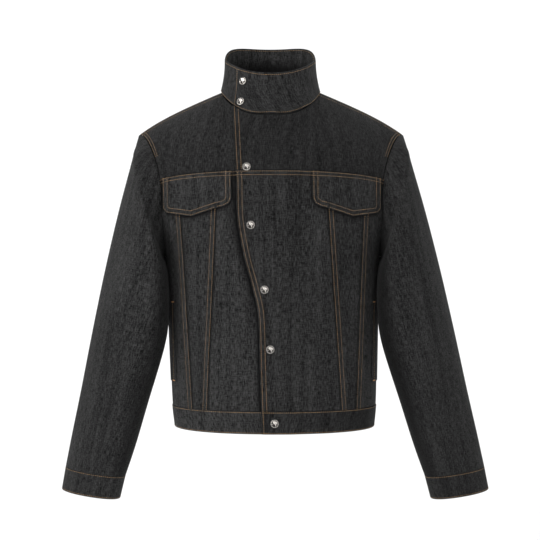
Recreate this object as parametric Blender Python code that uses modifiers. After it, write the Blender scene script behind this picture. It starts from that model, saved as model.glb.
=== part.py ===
"""Denim jacket with a standing funnel collar, filled out as if worn: a hollow form of cut and sewn panels.

Metres, +Z up. The front faces -Y and the wearer's left is +X. The origin is where the neck meets the
shoulders, midway between them. Every panel is an open surface, lofted on one body form, that Solidify
thickens outwards. The wearer's left front lies over the right one and is raised by one layer of cloth.
"""

import math
from collections import namedtuple

import bpy
from mathutils import Vector

# ---------------------------------------------------------------- driving dimensions
OBJECT_NAME = "denim_jacket"
LAYER = 0.0015  # one layer of denim
BAND = 0.0026  # the doubled cloth of collar, cuffs and waistband
FLAP_WALL = 0.0022
WELT_WALL = 0.0013
SEAM_GAP = 0.0003
LAP_GAP = 0.0007  # between the two fronts, and under what lies on a panel

YOKE_HEIGHT = -0.160
HEM_HEIGHT = -0.611
WAISTBAND_TOP = -0.572
ARMPIT_HEIGHT = -0.300

ARMHOLE_CENTRE = -0.187
ARMHOLE_HALF_HEIGHT = ARMHOLE_CENTRE - ARMPIT_HEIGHT
ARMHOLE_DEPTH_SHARE = 0.57  # of the body's depth

NECK_HALF_WIDTH = 0.0890
NECK_CENTRE_Y = -0.012
NECK_HALF_DEPTH = 0.087
NECK_SQUARENESS = 2.15  # of its front half

SHOULDER_HALF_WIDTH = 0.2415
SHOULDER_SEAM_Y = -0.004
SHOULDER_SLOPE = 0.44
SHOULDER_ROUNDING = 0.030  # of the shoulder line where it would cross the neck
SHOULDER_SPREAD = 1.3  # how late above the yoke line the cloth widens
SHOULDER_DROOP = 0.011
SHOULDER_TURN = 0.14  # how steeply the cloth crosses the shoulder seam
BACK_FULLNESS = 2.55  # how upright the back stays below the neck
FRONT_FULLNESS = 1.08  # how far forward the front stays below the neck
UPPER_LENGTH = 0.120  # nominal run of the cloth above the yoke line
LEAN = -0.0117  # how far the hanging jacket swings towards the wearer's left, per metre of height

COLLAR_TOP_HALF_WIDTH = 0.0814
COLLAR_TOP_CENTRE_Y = -0.0075
COLLAR_TOP_HALF_DEPTH = 0.0775
COLLAR_SIDE_HEIGHT = 0.060
COLLAR_FRONT_DIP = 0.0355
COLLAR_BACK_RISE = 0.0350
COLLAR_OVER_END = -45.5  # degrees round the neck from centre front, towards the wearer's left
COLLAR_UNDER_END = 398
COLLAR_FLARE = 2.0
COLLAR_CLEARANCE = 0.0010  # over the wall of the yokes and back

INNER_SEAM_AT_YOKE = 0.0945
INNER_SEAM_LEAN = 0.0562
OUTER_SEAM_AT_YOKE = 0.1647
OUTER_SEAM_LEAN = -0.0505
YOKE_SEAM_RISE = 0.007
YOKE_SEAM_FALL = 0.011
RAMP_START = 0.006  # past the edge of the right front
RAMP_LENGTH = 0.030  # over which the raised left front settles beside the right one

SIDE_SEAM_SHARE = 0.999  # where the side panel ends, just short of the back

WELT_FIRST_ROW = 1  # of the side panel's rows and columns of points
WELT_LAST_ROW = 4
WELT_FIRST_COLUMN = 2

SLEEVE_GAP = 0.0024  # between the armhole edge and the sleeve's head
ARM_ROUNDNESS = 0.92  # power of the sleeve sections' curve, where one is an ellipse
ARMPIT_LIFT = 0.0026  # of the sleeve's underside over the armpit

SNAP_RADIUS = 0.008
SNAP_HEIGHT = 0.0034

Ring = namedtuple("Ring", "height half_width front_depth back_depth squareness")
BODY_RINGS = (
    Ring(-0.611, 0.1815, 0.135, 0.118, 2.15),
    Ring(-0.572, 0.1855, 0.134, 0.116, 2.2),
    Ring(-0.500, 0.1880, 0.132, 0.112, 2.25),
    Ring(-0.400, 0.1910, 0.130, 0.111, 2.3),
    Ring(-0.340, 0.1930, 0.131, 0.114, 2.3),
    Ring(-0.300, 0.1965, 0.132, 0.117, 2.3),
    Ring(-0.260, 0.2075, 0.133, 0.120, 2.35),
    Ring(-0.220, 0.2190, 0.134, 0.122, 2.4),
    Ring(-0.160, 0.2235, 0.131, 0.120, 2.4),
)

# The overlapping and the underlying front edge, by level above the yoke line.
Edge = namedtuple("Edge", "height over under")
FRONT_EDGES = (
    Edge(-0.452, -0.0220, 0.022),
    Edge(-0.340, -0.0245, 0.022),
    Edge(-0.240, -0.0268, 0.024),
    Edge(-0.195, -0.0360, 0.028),
    Edge(-0.140, -0.0500, 0.034),
    Edge(-0.075, -0.0604, 0.041),
    Edge(0.000, -0.0618, 0.046),
    Edge(0.120, -0.0705, 0.056),
)

# Sleeve sections below the armhole: the outer and the inner end of each, and half its depth. The inner end
# comes forward, so that the sleeve lies against the front of the body's side.
Section = namedtuple("Section", "outer_x outer_y outer_z inner_x inner_y inner_z half_depth")
SLEEVE_SECTIONS = (
    Section(0.2475, -0.004, -0.0960, 0.1995, -0.028, -0.3040, 0.0722),
    Section(0.2585, -0.004, -0.1350, 0.1955, -0.052, -0.3150, 0.0715),
    Section(0.2820, -0.006, -0.2200, 0.1880, -0.066, -0.3480, 0.0680),
    Section(0.3075, -0.008, -0.3240, 0.1872, -0.070, -0.4020, 0.0645),
    Section(0.3310, -0.012, -0.4330, 0.1955, -0.060, -0.4600, 0.0605),
    Section(0.3535, -0.016, -0.5440, 0.2295, -0.042, -0.5680, 0.0530),
    Section(0.3695, -0.020, -0.6200, 0.2525, -0.040, -0.6430, 0.0460),
    Section(0.3822, -0.024, -0.6835, 0.2720, -0.038, -0.6990, 0.0405),
)
CUFF_END = Section(0.3895, -0.025, -0.7240, 0.2822, -0.038, -0.7395, 0.0400)

# The flap's lower outline, by distance from the centre line.
FlapCorner = namedtuple("FlapCorner", "from_centre level")
FLAP_OUTLINE = (
    FlapCorner(0.0705, -0.0400),
    FlapCorner(0.0740, -0.0490),
    FlapCorner(0.0835, -0.0545),
    FlapCorner(0.0945, -0.0569),
    FlapCorner(0.1180, -0.0641),
    FlapCorner(0.1400, -0.0710),
    FlapCorner(0.1640, -0.0672),
    FlapCorner(0.1780, -0.0652),
    FlapCorner(0.1855, -0.0635),
    FlapCorner(0.1915, -0.0560),
)

# Body snaps by place across the front and level.
# Collar snaps by degrees round the neck and share of its height.
BodySnap = namedtuple("BodySnap", "across level")
BODY_SNAPS = (
    BodySnap(-0.0433, 0.0112),
    BodySnap(-0.0372, -0.0871),
    BodySnap(-0.0147, -0.1996),
    BodySnap(-0.0059, -0.3039),
)
CollarSnap = namedtuple("CollarSnap", "degrees share")
COLLAR_SNAPS = (CollarSnap(-34, 0.70), CollarSnap(-35, 0.17))
WAISTBAND_SNAP_HEIGHT = -0.592

# Mesh density. The rows of the body's panels are closest above the armpit, where the armhole turns.
BODY_LEVELS = (
    *(-0.4117, -0.367, -0.318, -0.270, -0.222, -0.178, -0.140),
    *(-0.137, -0.128, -0.113, -0.088, -0.050, -0.0042),
)
CENTRE_COLUMNS = 7
MIDDLE_COLUMNS = 3
SIDE_COLUMNS = 5
YOKE_ROWS = 8
NECK_COLUMNS = 9  # in a quarter of the neck
SHOULDER_COLUMNS = 4
SLEEVE_COLUMNS = 20
SLEEVE_ROWS = 13
COLLAR_STEP = 10.5
WAISTBAND_STEP = 8.0
SNAP_SIDES = 16

FRONT = -1
BACK = 1
RIGHT = -1
LEFT = 1


# ---------------------------------------------------------------- small maths
def mix(a, b, share):
    return a + (b - a) * share


def smooth(share):
    share = min(1.0, max(0.0, share))
    return share * share * (3.0 - 2.0 * share)


def power(value, exponent):
    return math.copysign(abs(value) ** exponent, value)


def hermite(start, end, start_run, end_run, t):
    """A cubic from start to end that leaves with start_run and arrives with end_run."""
    t2 = t * t
    t3 = t2 * t
    return (
        start * (2 * t3 - 3 * t2 + 1)
        + end * (3 * t2 - 2 * t3)
        + start_run * (t3 - 2 * t2 + t)
        + end_run * (t3 - t2)
    )


def along_rows(rows, height):
    """A named row between the rows of a table, on a smooth curve through its columns."""
    place = 0
    while place < len(rows) - 2 and rows[place + 1].height < height:
        place += 1
    low = rows[place]
    high = rows[place + 1]
    before = rows[max(place - 1, 0)]
    after = rows[min(place + 2, len(rows) - 1)]
    span = high.height - low.height
    t = (height - low.height) / span
    values = []
    for column in range(len(low)):
        slope_low = (high[column] - before[column]) / (high.height - before.height)
        slope_high = (after[column] - low[column]) / (after.height - low.height)
        values.append(hermite(low[column], high[column], slope_low * span, slope_high * span, t))
    return type(low)(*values)


# ---------------------------------------------------------------- the body form
def armhole_share(height):
    """Half the armhole's front-to-back size at a height, as a share of the body's depth there."""
    offset = (height - ARMHOLE_CENTRE) / ARMHOLE_HALF_HEIGHT
    if height <= ARMPIT_HEIGHT:
        return 0.0
    return ARMHOLE_DEPTH_SHARE * math.sqrt(1.0 - offset * offset)


def ring_size(height):
    """The body's ring at a height, and the angle where armhole or side seam ends front and back."""
    ring = along_rows(BODY_RINGS, height)
    return ring, math.acos(armhole_share(height) ** (ring.squareness / 2.0))


def ring_point(angle, height):
    """A point of the body's ring: angle 0 is centre front, a quarter turn the wearer's left side."""
    ring = along_rows(BODY_RINGS, height)
    exponent = 2.0 / ring.squareness
    depth = ring.front_depth if math.cos(angle) > 0 else ring.back_depth
    x = ring.half_width * power(math.sin(angle), exponent)
    return Vector((x, -depth * power(math.cos(angle), exponent), height))


def ridge_point(x):
    """The top of the body form at x: the shoulder seam, and its smooth way on across the open neck."""
    rounded = math.hypot(x, SHOULDER_ROUNDING) - math.hypot(NECK_HALF_WIDTH, SHOULDER_ROUNDING)
    beyond = max(0.0, (abs(x) - NECK_HALF_WIDTH) / (SHOULDER_HALF_WIDTH - NECK_HALF_WIDTH))
    y = mix(NECK_CENTRE_Y, SHOULDER_SEAM_Y, abs(x) / SHOULDER_HALF_WIDTH)
    return Vector((x, y, -SHOULDER_SLOPE * rounded - SHOULDER_DROOP * beyond**4))


def armhole_x(height):
    ring, reach = ring_size(height)
    return ring_point(reach, height).x


def spread(level):
    """How far the cloth above the yoke line has widened towards the shoulder point."""
    widest = SHOULDER_HALF_WIDTH / armhole_x(YOKE_HEIGHT)
    return mix(1.0, widest, max(0.0, level / UPPER_LENGTH) ** SHOULDER_SPREAD)


def body_point(side, share, level):
    """A point of the body form: share runs from the centre line outwards, level down from the yoke."""
    height = YOKE_HEIGHT + min(level, 0.0)
    angle = share * ring_size(height)[1]
    low = ring_point(angle if side == FRONT else math.pi - angle, height)
    if level <= 0:
        return low
    step = 0.01
    below = body_point(side, share, -step)
    end = ridge_point(low.x * spread(UPPER_LENGTH))
    chord = math.hypot(end.y - low.y, end.z - low.z)
    outward = abs(end.x) / SHOULDER_HALF_WIDTH
    rise = UPPER_LENGTH if side == FRONT else chord * mix(BACK_FULLNESS, 1.1, outward)
    turn = -side * chord * (mix(FRONT_FULLNESS, 0.9, outward) if side == FRONT else 1.2)
    y = hermite(low.y, end.y, (low.y - below.y) / step * rise, turn, level / UPPER_LENGTH)
    z = hermite(low.z, end.z, rise, turn * SHOULDER_TURN, level / UPPER_LENGTH)
    return Vector((low.x * spread(level), y, z))


def outside_neck(point):
    """Above 0 where the cloth is outside the oval of the neck, seen from above."""
    across = point.x / NECK_HALF_WIDTH
    along = (point.y - NECK_CENTRE_Y) / NECK_HALF_DEPTH
    bend = NECK_SQUARENESS if along < 0 else 2.0
    return abs(across) ** bend + abs(along) ** bend - 1.0


def solve(below, low, high):
    """Where a rising condition stops being true between low and high."""
    for _ in range(24):
        middle = (low + high) / 2
        if below(middle):
            low = middle
        else:
            high = middle
    return low


def neck_level(side, share):
    """The level of the neck edge, or of the shoulder seam beyond it."""
    if abs(share) >= share_at(NECK_HALF_WIDTH, UPPER_LENGTH):
        return UPPER_LENGTH
    return solve(lambda level: outside_neck(body_point(side, share, level)) > 0, 0.0, UPPER_LENGTH)


def neck_point(angle):
    """A point of the neck edge, by the angle round the neck from centre front."""
    side = FRONT if math.cos(angle) >= 0 else BACK
    bend = 2.0 / NECK_SQUARENESS if side == FRONT else 1.0
    x = NECK_HALF_WIDTH * power(math.sin(angle), bend)
    y = NECK_CENTRE_Y - NECK_HALF_DEPTH * power(math.cos(angle), bend)

    def before_neck(level):
        return (body_point(side, share_at(x, level), level).y - y) * side > 0

    level = solve(before_neck, 0.0, UPPER_LENGTH)
    return body_point(side, share_at(x, level), level)


def share_at(x, level):
    """The share at which a point of the front or back has this x."""
    height = YOKE_HEIGHT + min(level, 0.0)
    ring, reach = ring_size(height)
    part = min(1.0, abs(x) / spread(level) / ring.half_width)
    return math.copysign(math.asin(part ** (ring.squareness / 2.0)) / reach, x)


def raised(point_at, first, second, distance, step=0.001):
    """point_at(first, second), moved out from the surface by distance."""
    across = point_at(first + step, second) - point_at(first - step, second)
    up = point_at(first, second + step) - point_at(first, second - step)
    return point_at(first, second) + across.cross(up).normalized() * distance


def front_raise(x, level):
    """How much the wearer's left front is raised by the right one under it."""
    under = along_rows(FRONT_EDGES, level).under
    return (LAYER + LAP_GAP) * (1.0 - smooth((x - under - RAMP_START) / RAMP_LENGTH))


def front_point(hand, share, level, above=0.0):
    """A point on the outside of the front, hand RIGHT lying under and LEFT over."""
    x = body_point(FRONT, share, level).x
    distance = above + (front_raise(x, level) if hand == LEFT else 0.0)
    return raised(lambda s, v: body_point(FRONT, s, v), share, level, distance)


def yoke_level(share):
    return YOKE_SEAM_RISE - YOKE_SEAM_FALL * share * share


def inner_seam(level):
    return INNER_SEAM_AT_YOKE - INNER_SEAM_LEAN * level


def outer_seam(level):
    return OUTER_SEAM_AT_YOKE - OUTER_SEAM_LEAN * level


# ---------------------------------------------------------------- making pieces
def clear_scene():
    for item in list(bpy.data.objects):
        bpy.data.objects.remove(item, do_unlink=True)


def make_material(name, colour, roughness, metallic=0.0):
    material = bpy.data.materials.new(name)
    material.use_nodes = True
    shader = material.node_tree.nodes["Principled BSDF"]
    shader.inputs["Base Color"].default_value = (*colour, 1.0)
    shader.inputs["Roughness"].default_value = roughness
    shader.inputs["Metallic"].default_value = metallic
    material.diffuse_color = (*colour, 1.0)
    return material


def add_object(name, mesh, material):
    item = bpy.data.objects.new(name, mesh)
    bpy.data.collections[OBJECT_NAME].objects.link(item)
    mesh.materials.append(material)
    return item


def leaning(point):
    return Vector((point.x + LEAN * point.z, point.y, point.z))


def add_cloth(name, rows, wall, colour, closed=False):
    """A loft through rows of points, closed into a tube or not, thickened outwards by wall."""
    count = len(rows[0])
    points = [point for row in rows for point in row]
    faces = []
    for r in range(len(rows) - 1):
        for c in range(count if closed else count - 1):
            following = (c + 1) % count
            low = r * count
            high = low + count
            faces.append((low + c, low + following, high + following, high + c))
    mesh = bpy.data.meshes.new(name)
    mesh.from_pydata([leaning(point) for point in points], [], faces)
    mesh.shade_smooth()
    item = add_object(name, mesh, make_material(name, colour, 0.85))
    solidify = item.modifiers.new("Wall", "SOLIDIFY")
    solidify.thickness = wall
    solidify.offset = 1.0
    return item


def panel_rows(left, right, columns, point):
    """Rows of points between two upright seams, share by level, from the waistband to the yoke seam."""
    low = BODY_LEVELS[0]
    grid = []
    for body_level in BODY_LEVELS:
        row = []
        for c in range(columns + 1):
            share = 0.0
            level = 0.0
            for _ in range(4):
                top = yoke_level(share) - SEAM_GAP / 2
                level = mix(low, top, (body_level - low) / (BODY_LEVELS[-1] - low))
                share = mix(left(level), right(level), c / columns)
            row.append(point(share, level))
        grid.append(row)
    return grid


def neck_shares():
    """Shares from the neck's right side to its left side, evenly round it."""
    side = share_at(NECK_HALF_WIDTH, UPPER_LENGTH)
    return [side * math.sin(math.pi / 2 * k / NECK_COLUMNS) for k in range(-NECK_COLUMNS, NECK_COLUMNS + 1)]


def shoulder_shares():
    """Shares from beside the neck to the shoulder point."""
    side = neck_shares()[-1]
    return [mix(side, 1.0, (k + 1) / SHOULDER_COLUMNS) for k in range(SHOULDER_COLUMNS)]


def front_edge(hand, level):
    row = along_rows(FRONT_EDGES, level)
    return row.over if hand == LEFT else row.under


def add_front_panels(hand, word, shade):
    """The centre, middle and side panels of one front, and the welt that lies on the side panel."""

    def seam(place, gap):
        return lambda level: share_at(hand * (place(level) + gap), level)

    def edge(level):
        return share_at(front_edge(hand, level), level)

    def side_seam(level):
        return hand * SIDE_SEAM_SHARE

    half_gap = SEAM_GAP / 2
    pieces = (
        ("centre", edge, seam(inner_seam, -half_gap), CENTRE_COLUMNS),
        ("middle", seam(inner_seam, half_gap), seam(outer_seam, -half_gap), MIDDLE_COLUMNS),
        ("side", seam(outer_seam, half_gap), side_seam, SIDE_COLUMNS),
    )
    for index, (part, inner, outer, columns) in enumerate(pieces):
        left, right = (inner, outer) if hand == LEFT else (outer, inner)
        colour = [shade * (1.0 + 0.25 * index)] * 3
        grid = panel_rows(left, right, columns, lambda s, v: front_point(hand, s, v))
        add_cloth(f"{word}_{part}_front", grid, LAYER, colour)
    above = LAYER + SEAM_GAP
    grid = panel_rows(left, right, columns, lambda s, v: front_point(hand, s, v, above))
    first, last = (WELT_FIRST_COLUMN, columns) if hand == LEFT else (0, columns - WELT_FIRST_COLUMN)
    welt = [row[first : last + 1] for row in grid[WELT_FIRST_ROW : WELT_LAST_ROW + 1]]
    add_cloth(f"{word}_pocket_welt", welt, WELT_WALL, (0.06, 0.06, 0.065))


def add_yoke(hand, word, shade):
    """A front yoke, from its front edge round the neck and out to the armhole."""
    even = [hand * share for share in shoulder_shares()] + neck_shares()
    inside = [share for share in even if (share - yoke_edge_limit(hand)) * hand > 0]
    grid = []
    for r in range(YOKE_ROWS + 1):
        edge = inside[0]
        for _ in range(4):
            level = yoke_row_level(edge, r)
            edge = share_at(front_edge(hand, level), level)
        row = [front_point(hand, share, yoke_row_level(share, r)) for share in sorted([edge] + inside)]
        grid.append(row)
    add_cloth(f"{word}_front_yoke", grid, LAYER, [shade * 1.1] * 3)


def yoke_row_level(share, row):
    return mix(yoke_level(share) + SEAM_GAP / 2, neck_level(FRONT, share), row / YOKE_ROWS)


def yoke_edge_limit(hand):
    """The share past which the yoke's even columns stand clear of its slanting front edge."""
    shares = [share_at(front_edge(hand, level), level) for level in (0.0, UPPER_LENGTH / 2, UPPER_LENGTH)]
    return (max(shares) if hand == LEFT else min(shares)) + 0.03 * hand


def add_back():
    """The back: one plain panel from shoulder seam to waistband."""
    side = shoulder_shares()
    even = neck_shares()
    middle = even[::3] + [even[1], even[-2]]
    shares = sorted([-share for share in side] + middle + side, reverse=True)
    grid = []
    for r in range(len(BODY_LEVELS) + YOKE_ROWS):
        row = []
        for share in shares:
            upper = (r - len(BODY_LEVELS) + 1) / YOKE_ROWS
            level = BODY_LEVELS[r] if upper < 0 else neck_level(BACK, share) * upper
            point = body_point(BACK, share, level)
            if abs(share) == 1.0 or level == UPPER_LENGTH:
                point.y += SEAM_GAP
            row.append(point)
        grid.append(row)
    add_cloth("back", grid, LAYER, (0.05, 0.05, 0.055))


def yoke_wall_rise(angle, x):
    """How far the wall of the yoke or back rises past the neck edge, where it is thickened outwards."""
    wall = LAYER + front_raise(x, UPPER_LENGTH) if math.cos(angle) > 0 else LAYER
    return wall * mix(0.4 if math.cos(angle) > 0 else 1.05, 1.0, math.sin(angle) ** 2)


def collar_point(degrees, share):
    """A point of the collar form: degrees round the neck from centre front, share of the height."""
    angle = math.radians(degrees)
    forward = math.cos(angle)
    base = neck_point(angle)
    base.z += COLLAR_CLEARANCE + yoke_wall_rise(angle, base.x)
    if forward > 0:
        height = COLLAR_SIDE_HEIGHT - COLLAR_FRONT_DIP * forward**1.5
    else:
        height = COLLAR_SIDE_HEIGHT + COLLAR_BACK_RISE * (1.0 - (1.0 + forward) ** 2.2)
    x = COLLAR_TOP_HALF_WIDTH * math.sin(angle)
    top = Vector((x, COLLAR_TOP_CENTRE_Y - COLLAR_TOP_HALF_DEPTH * forward, height))
    inward = 1.0 - (1.0 - share) ** COLLAR_FLARE if share < 1.0 else 1.0
    return Vector((mix(base.x, top.x, inward), mix(base.y, top.y, inward), mix(base.z, top.z, share)))


def collar_raise(degrees):
    return (BAND + SEAM_GAP) * (1.0 - smooth((degrees - 41.0) / 30.0))


def add_collar():
    """One doubled band round the neck; its left end lies over its right end."""
    steps = round((COLLAR_UNDER_END - COLLAR_OVER_END) / COLLAR_STEP)
    grid = []
    for r in range(5):
        row = []
        for c in range(steps + 1):
            degrees = mix(COLLAR_OVER_END, COLLAR_UNDER_END, c / steps)
            row.append(raised(collar_point, degrees, r / 4, collar_raise(degrees)))
        grid.append(row)
    add_cloth("collar", grid, BAND, (0.047, 0.047, 0.05))


def waistband_point(degrees, height):
    return ring_point(math.radians(degrees), height)


def waistband_raise(degrees):
    return (BAND + SEAM_GAP) * (1.0 - smooth((degrees - 7.0) / 9.0))


def add_waistband():
    """One doubled band round the hem; its left end lies over its right end."""
    ring = along_rows(BODY_RINGS, WAISTBAND_SNAP_HEIGHT)
    lap = math.degrees(math.asin((abs(FRONT_EDGES[0].over) / ring.half_width) ** (ring.squareness / 2)))
    steps = round((360 + 2 * lap) / WAISTBAND_STEP)
    grid = []
    for r in range(3):
        height = mix(HEM_HEIGHT, WAISTBAND_TOP, r / 2)
        row = []
        for c in range(steps + 1):
            degrees = mix(-lap, 360 + lap, c / steps)
            row.append(raised(waistband_point, degrees, height, waistband_raise(degrees)))
        grid.append(row)
    add_cloth("waistband", grid, BAND, (0.047, 0.047, 0.05))


def armhole_point(hand, turn):
    """A point of the armhole: turn 0 is the shoulder point, a quarter turn the front, half the armpit."""
    side = FRONT if math.sin(turn) >= 0 else BACK
    height = ARMHOLE_CENTRE + ARMHOLE_HALF_HEIGHT * math.cos(turn)
    if height <= YOKE_HEIGHT:
        return body_point(side, float(hand), height - YOKE_HEIGHT)
    low = 0.0
    high = UPPER_LENGTH
    for _ in range(30):
        middle = (low + high) / 2
        if body_point(side, float(hand), middle).z < height:
            low = middle
        else:
            high = middle
    return body_point(side, float(hand), low)


def section_point(hand, section, turn, wall):
    """A point on the inside of a sleeve section whose ends are on its outside."""
    outer = Vector((section.outer_x, section.outer_y, section.outer_z))
    inner = Vector((section.inner_x, section.inner_y, section.inner_z))
    half = (outer - inner) / 2
    reach = half.normalized() * (half.length - wall)
    forward = Vector((0.0, -(section.half_depth - wall), 0.0))
    across = reach * power(math.cos(turn), ARM_ROUNDNESS)
    point = (outer + inner) / 2 + across + forward * power(math.sin(turn), ARM_ROUNDNESS)
    point.x *= hand
    return point


def sleeve_head_point(hand, turn):
    """The sleeve's first section, just outside the armhole and above the armpit."""
    point = armhole_point(hand, turn)
    point.x += hand * SLEEVE_GAP
    point.z += ARMPIT_LIFT * (1.0 - math.cos(turn)) / 2
    return point


def sleeve_point(hand, turn, share):
    """A point of the sleeve: share 0 is the armhole and 1 the cuff."""
    line = [sleeve_head_point(hand, turn)]
    line += [section_point(hand, section, turn, LAYER) for section in SLEEVE_SECTIONS]
    place = min(share, 0.9999) * (len(line) - 1)
    k = int(place)
    before = line[max(k - 1, 0)]
    after = line[min(k + 2, len(line) - 1)]
    return hermite(line[k], line[k + 1], (line[k + 1] - before) / 2, (after - line[k]) / 2, place - k)


def tube_turns(hand):
    turns = [2 * math.pi * c / SLEEVE_COLUMNS for c in range(SLEEVE_COLUMNS)]
    return turns if hand == LEFT else turns[::-1]


def add_sleeve(hand, word):
    turns = tube_turns(hand)
    shares = [(r / SLEEVE_ROWS) * 0.998 for r in range(SLEEVE_ROWS + 1)]
    grid = [[sleeve_point(hand, turn, share) for turn in turns] for share in shares]
    add_cloth(f"{word}_sleeve", grid, LAYER, (0.044, 0.044, 0.048), closed=True)
    grid = []
    for r in range(3):
        section = Section(*[mix(a, b, r / 2) for a, b in zip(SLEEVE_SECTIONS[-1], CUFF_END)])
        grid.append([section_point(hand, section, turn, BAND) for turn in turns])
    add_cloth(f"{word}_cuff", grid, BAND, (0.055, 0.055, 0.06), closed=True)


def add_flap(hand, word):
    """A pointed pocket flap that hangs from the yoke seam, over the panels."""
    above = LAYER + LAP_GAP
    grid = []
    for r in range(4):
        row = []
        for corner in FLAP_OUTLINE:
            top = yoke_level(share_at(corner.from_centre, 0.0)) - 2 * SEAM_GAP
            level = mix(corner.level, top, r / 3)
            share = share_at(hand * corner.from_centre, level)
            row.append(front_point(hand, share, level, above))
        grid.append(row if hand == LEFT else row[::-1])
    add_cloth(f"{word}_pocket_flap", grid, FLAP_WALL, (0.06, 0.06, 0.065))


def snap_profile():
    """The cap's profile from its rim up to the middle of its dome."""
    radius, height = SNAP_RADIUS, SNAP_HEIGHT
    return (
        (0.0, height),
        (radius * 0.50, height * 0.94),
        (radius * 0.80, height * 0.74),
        (radius * 0.97, height * 0.42),
        (radius, height * 0.22),
        (radius * 0.94, 0.0),
        (0.0, 0.0),
    )


def add_snap(name, place, normal):
    """A domed snap cap, its back just above the cloth."""
    profile = [(x, 0.0, z) for x, z in snap_profile()]
    mesh = bpy.data.meshes.new(name)
    mesh.from_pydata(profile, [(i, i + 1) for i in range(len(profile) - 1)], [])
    item = add_object(name, mesh, make_material(name, (0.72, 0.70, 0.67), 0.25, 1.0))
    screw = item.modifiers.new("Turn", "SCREW")
    screw.axis = "Z"
    screw.steps = SNAP_SIDES
    screw.render_steps = SNAP_SIDES
    screw.use_merge_vertices = True
    screw.merge_threshold = 0.00001
    screw.use_smooth_shade = True
    item.rotation_euler = normal.to_track_quat("Z", "Y").to_euler()
    item.location = leaning(place)


def surface_normal(point_at, first, second):
    return (raised(point_at, first, second, 1.0) - point_at(first, second)).normalized()


def add_snaps():
    above = LAYER + SEAM_GAP
    number = 1
    for snap in COLLAR_SNAPS:
        distance = collar_raise(snap.degrees) + BAND + LAP_GAP
        place = raised(collar_point, snap.degrees, snap.share, distance)
        add_snap(f"snap_{number}", place, surface_normal(collar_point, snap.degrees, snap.share))
        number += 1
    for snap in BODY_SNAPS:
        share = share_at(snap.across, snap.level)
        place = front_point(LEFT, share, snap.level, above)
        normal = surface_normal(lambda s, v: body_point(FRONT, s, v), share, snap.level)
        add_snap(f"snap_{number}", place, normal)
        number += 1
    distance = waistband_raise(0.0) + BAND + SEAM_GAP
    place = raised(waistband_point, 0.0, WAISTBAND_SNAP_HEIGHT, distance)
    add_snap(f"snap_{number}", place, surface_normal(waistband_point, 0.0, WAISTBAND_SNAP_HEIGHT))


def build_jacket():
    clear_scene()
    bpy.context.scene.collection.children.link(bpy.data.collections.new(OBJECT_NAME))
    for hand, word, shade in ((RIGHT, "right", 0.048), (LEFT, "left", 0.043)):
        add_front_panels(hand, word, shade)
        add_yoke(hand, word, shade)
        add_flap(hand, word)
        add_sleeve(hand, word)
    add_back()
    add_collar()
    add_waistband()
    add_snaps()


build_jacket()
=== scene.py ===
# %% [markdown]
# # A denim jacket, filled out as if worn
# This lesson builds the finished look of a raw denim jacket on top of its solid model. Every panel is drawn
# again as a thin shell on the same form, with the soft troughs that cloth makes, rolled edges, thread,
# bartacks and snap caps. Each step says what the piece is on a real jacket, how it could be made and why it
# is made this way, and prints what it made or measured.

# %% The frame and the solid model
import math
from collections import defaultdict, namedtuple

import bpy
import numpy as np
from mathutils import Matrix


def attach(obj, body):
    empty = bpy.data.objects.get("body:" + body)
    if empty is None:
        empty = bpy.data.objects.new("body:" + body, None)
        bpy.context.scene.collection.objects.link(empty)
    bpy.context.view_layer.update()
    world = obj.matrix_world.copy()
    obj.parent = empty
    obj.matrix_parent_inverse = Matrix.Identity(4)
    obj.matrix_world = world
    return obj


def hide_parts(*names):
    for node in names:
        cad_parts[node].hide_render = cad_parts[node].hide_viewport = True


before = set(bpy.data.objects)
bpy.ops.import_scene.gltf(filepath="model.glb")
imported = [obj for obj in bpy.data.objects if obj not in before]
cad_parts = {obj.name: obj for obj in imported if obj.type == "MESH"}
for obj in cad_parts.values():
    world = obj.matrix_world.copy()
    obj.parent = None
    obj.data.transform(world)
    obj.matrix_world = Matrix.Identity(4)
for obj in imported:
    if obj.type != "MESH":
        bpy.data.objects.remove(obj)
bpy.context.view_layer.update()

# %% [markdown]
# ## The camera and the light
# A jacket is usually judged straight on, evenly lit and on white. The view is from chest height, a little
# over two metres away. One broad soft lamp stands to the left of the camera and a weaker one to the right,
# and a white surround fills the rest. Sun lamps would throw hard shadows, but dark cloth shows its folds
# only in soft light, so both lamps are large areas. The floor is made last.

# %% The camera
VIEW_HEIGHT = -0.3256  # from the base of the neck
VIEW_DISTANCE = 2.2
VIEW_SIDE = -0.0011
FRAME_WIDTH = 0.999  # what the camera sees across, at the jacket
SENSOR = 36.0

scene = bpy.context.scene
camera = bpy.data.objects.new("camera", bpy.data.cameras.new("camera"))
scene.collection.objects.link(camera)
camera.location = (VIEW_SIDE, -VIEW_DISTANCE, VIEW_HEIGHT)
camera.rotation_euler = (math.pi / 2, 0.0, 0.0)
camera.data.sensor_width = SENSOR
camera.data.lens = SENSOR * VIEW_DISTANCE / FRAME_WIDTH
scene.camera = camera
scene.view_settings.view_transform = "Standard"
print("camera lens", round(camera.data.lens, 1), "mm")

# %% The surround and the lamps
world = bpy.data.worlds.new("surround")
scene.world = world
world.use_nodes = True
world.node_tree.nodes["Background"].inputs["Color"].default_value = (1.0, 1.0, 1.0, 1.0)
world.node_tree.nodes["Background"].inputs["Strength"].default_value = 1.0


def add_lamp(name, place, aim, size, watts):
    lamp = bpy.data.lights.new(name, "AREA")
    lamp.size = size
    lamp.energy = watts
    item = bpy.data.objects.new(name, lamp)
    scene.collection.objects.link(item)
    item.location = place
    way = np.array(aim) - np.array(place)
    flat = math.hypot(way[0], way[1])
    item.rotation_euler = (math.atan2(flat, -way[2]), 0.0, math.atan2(-way[0], way[1]))


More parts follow.
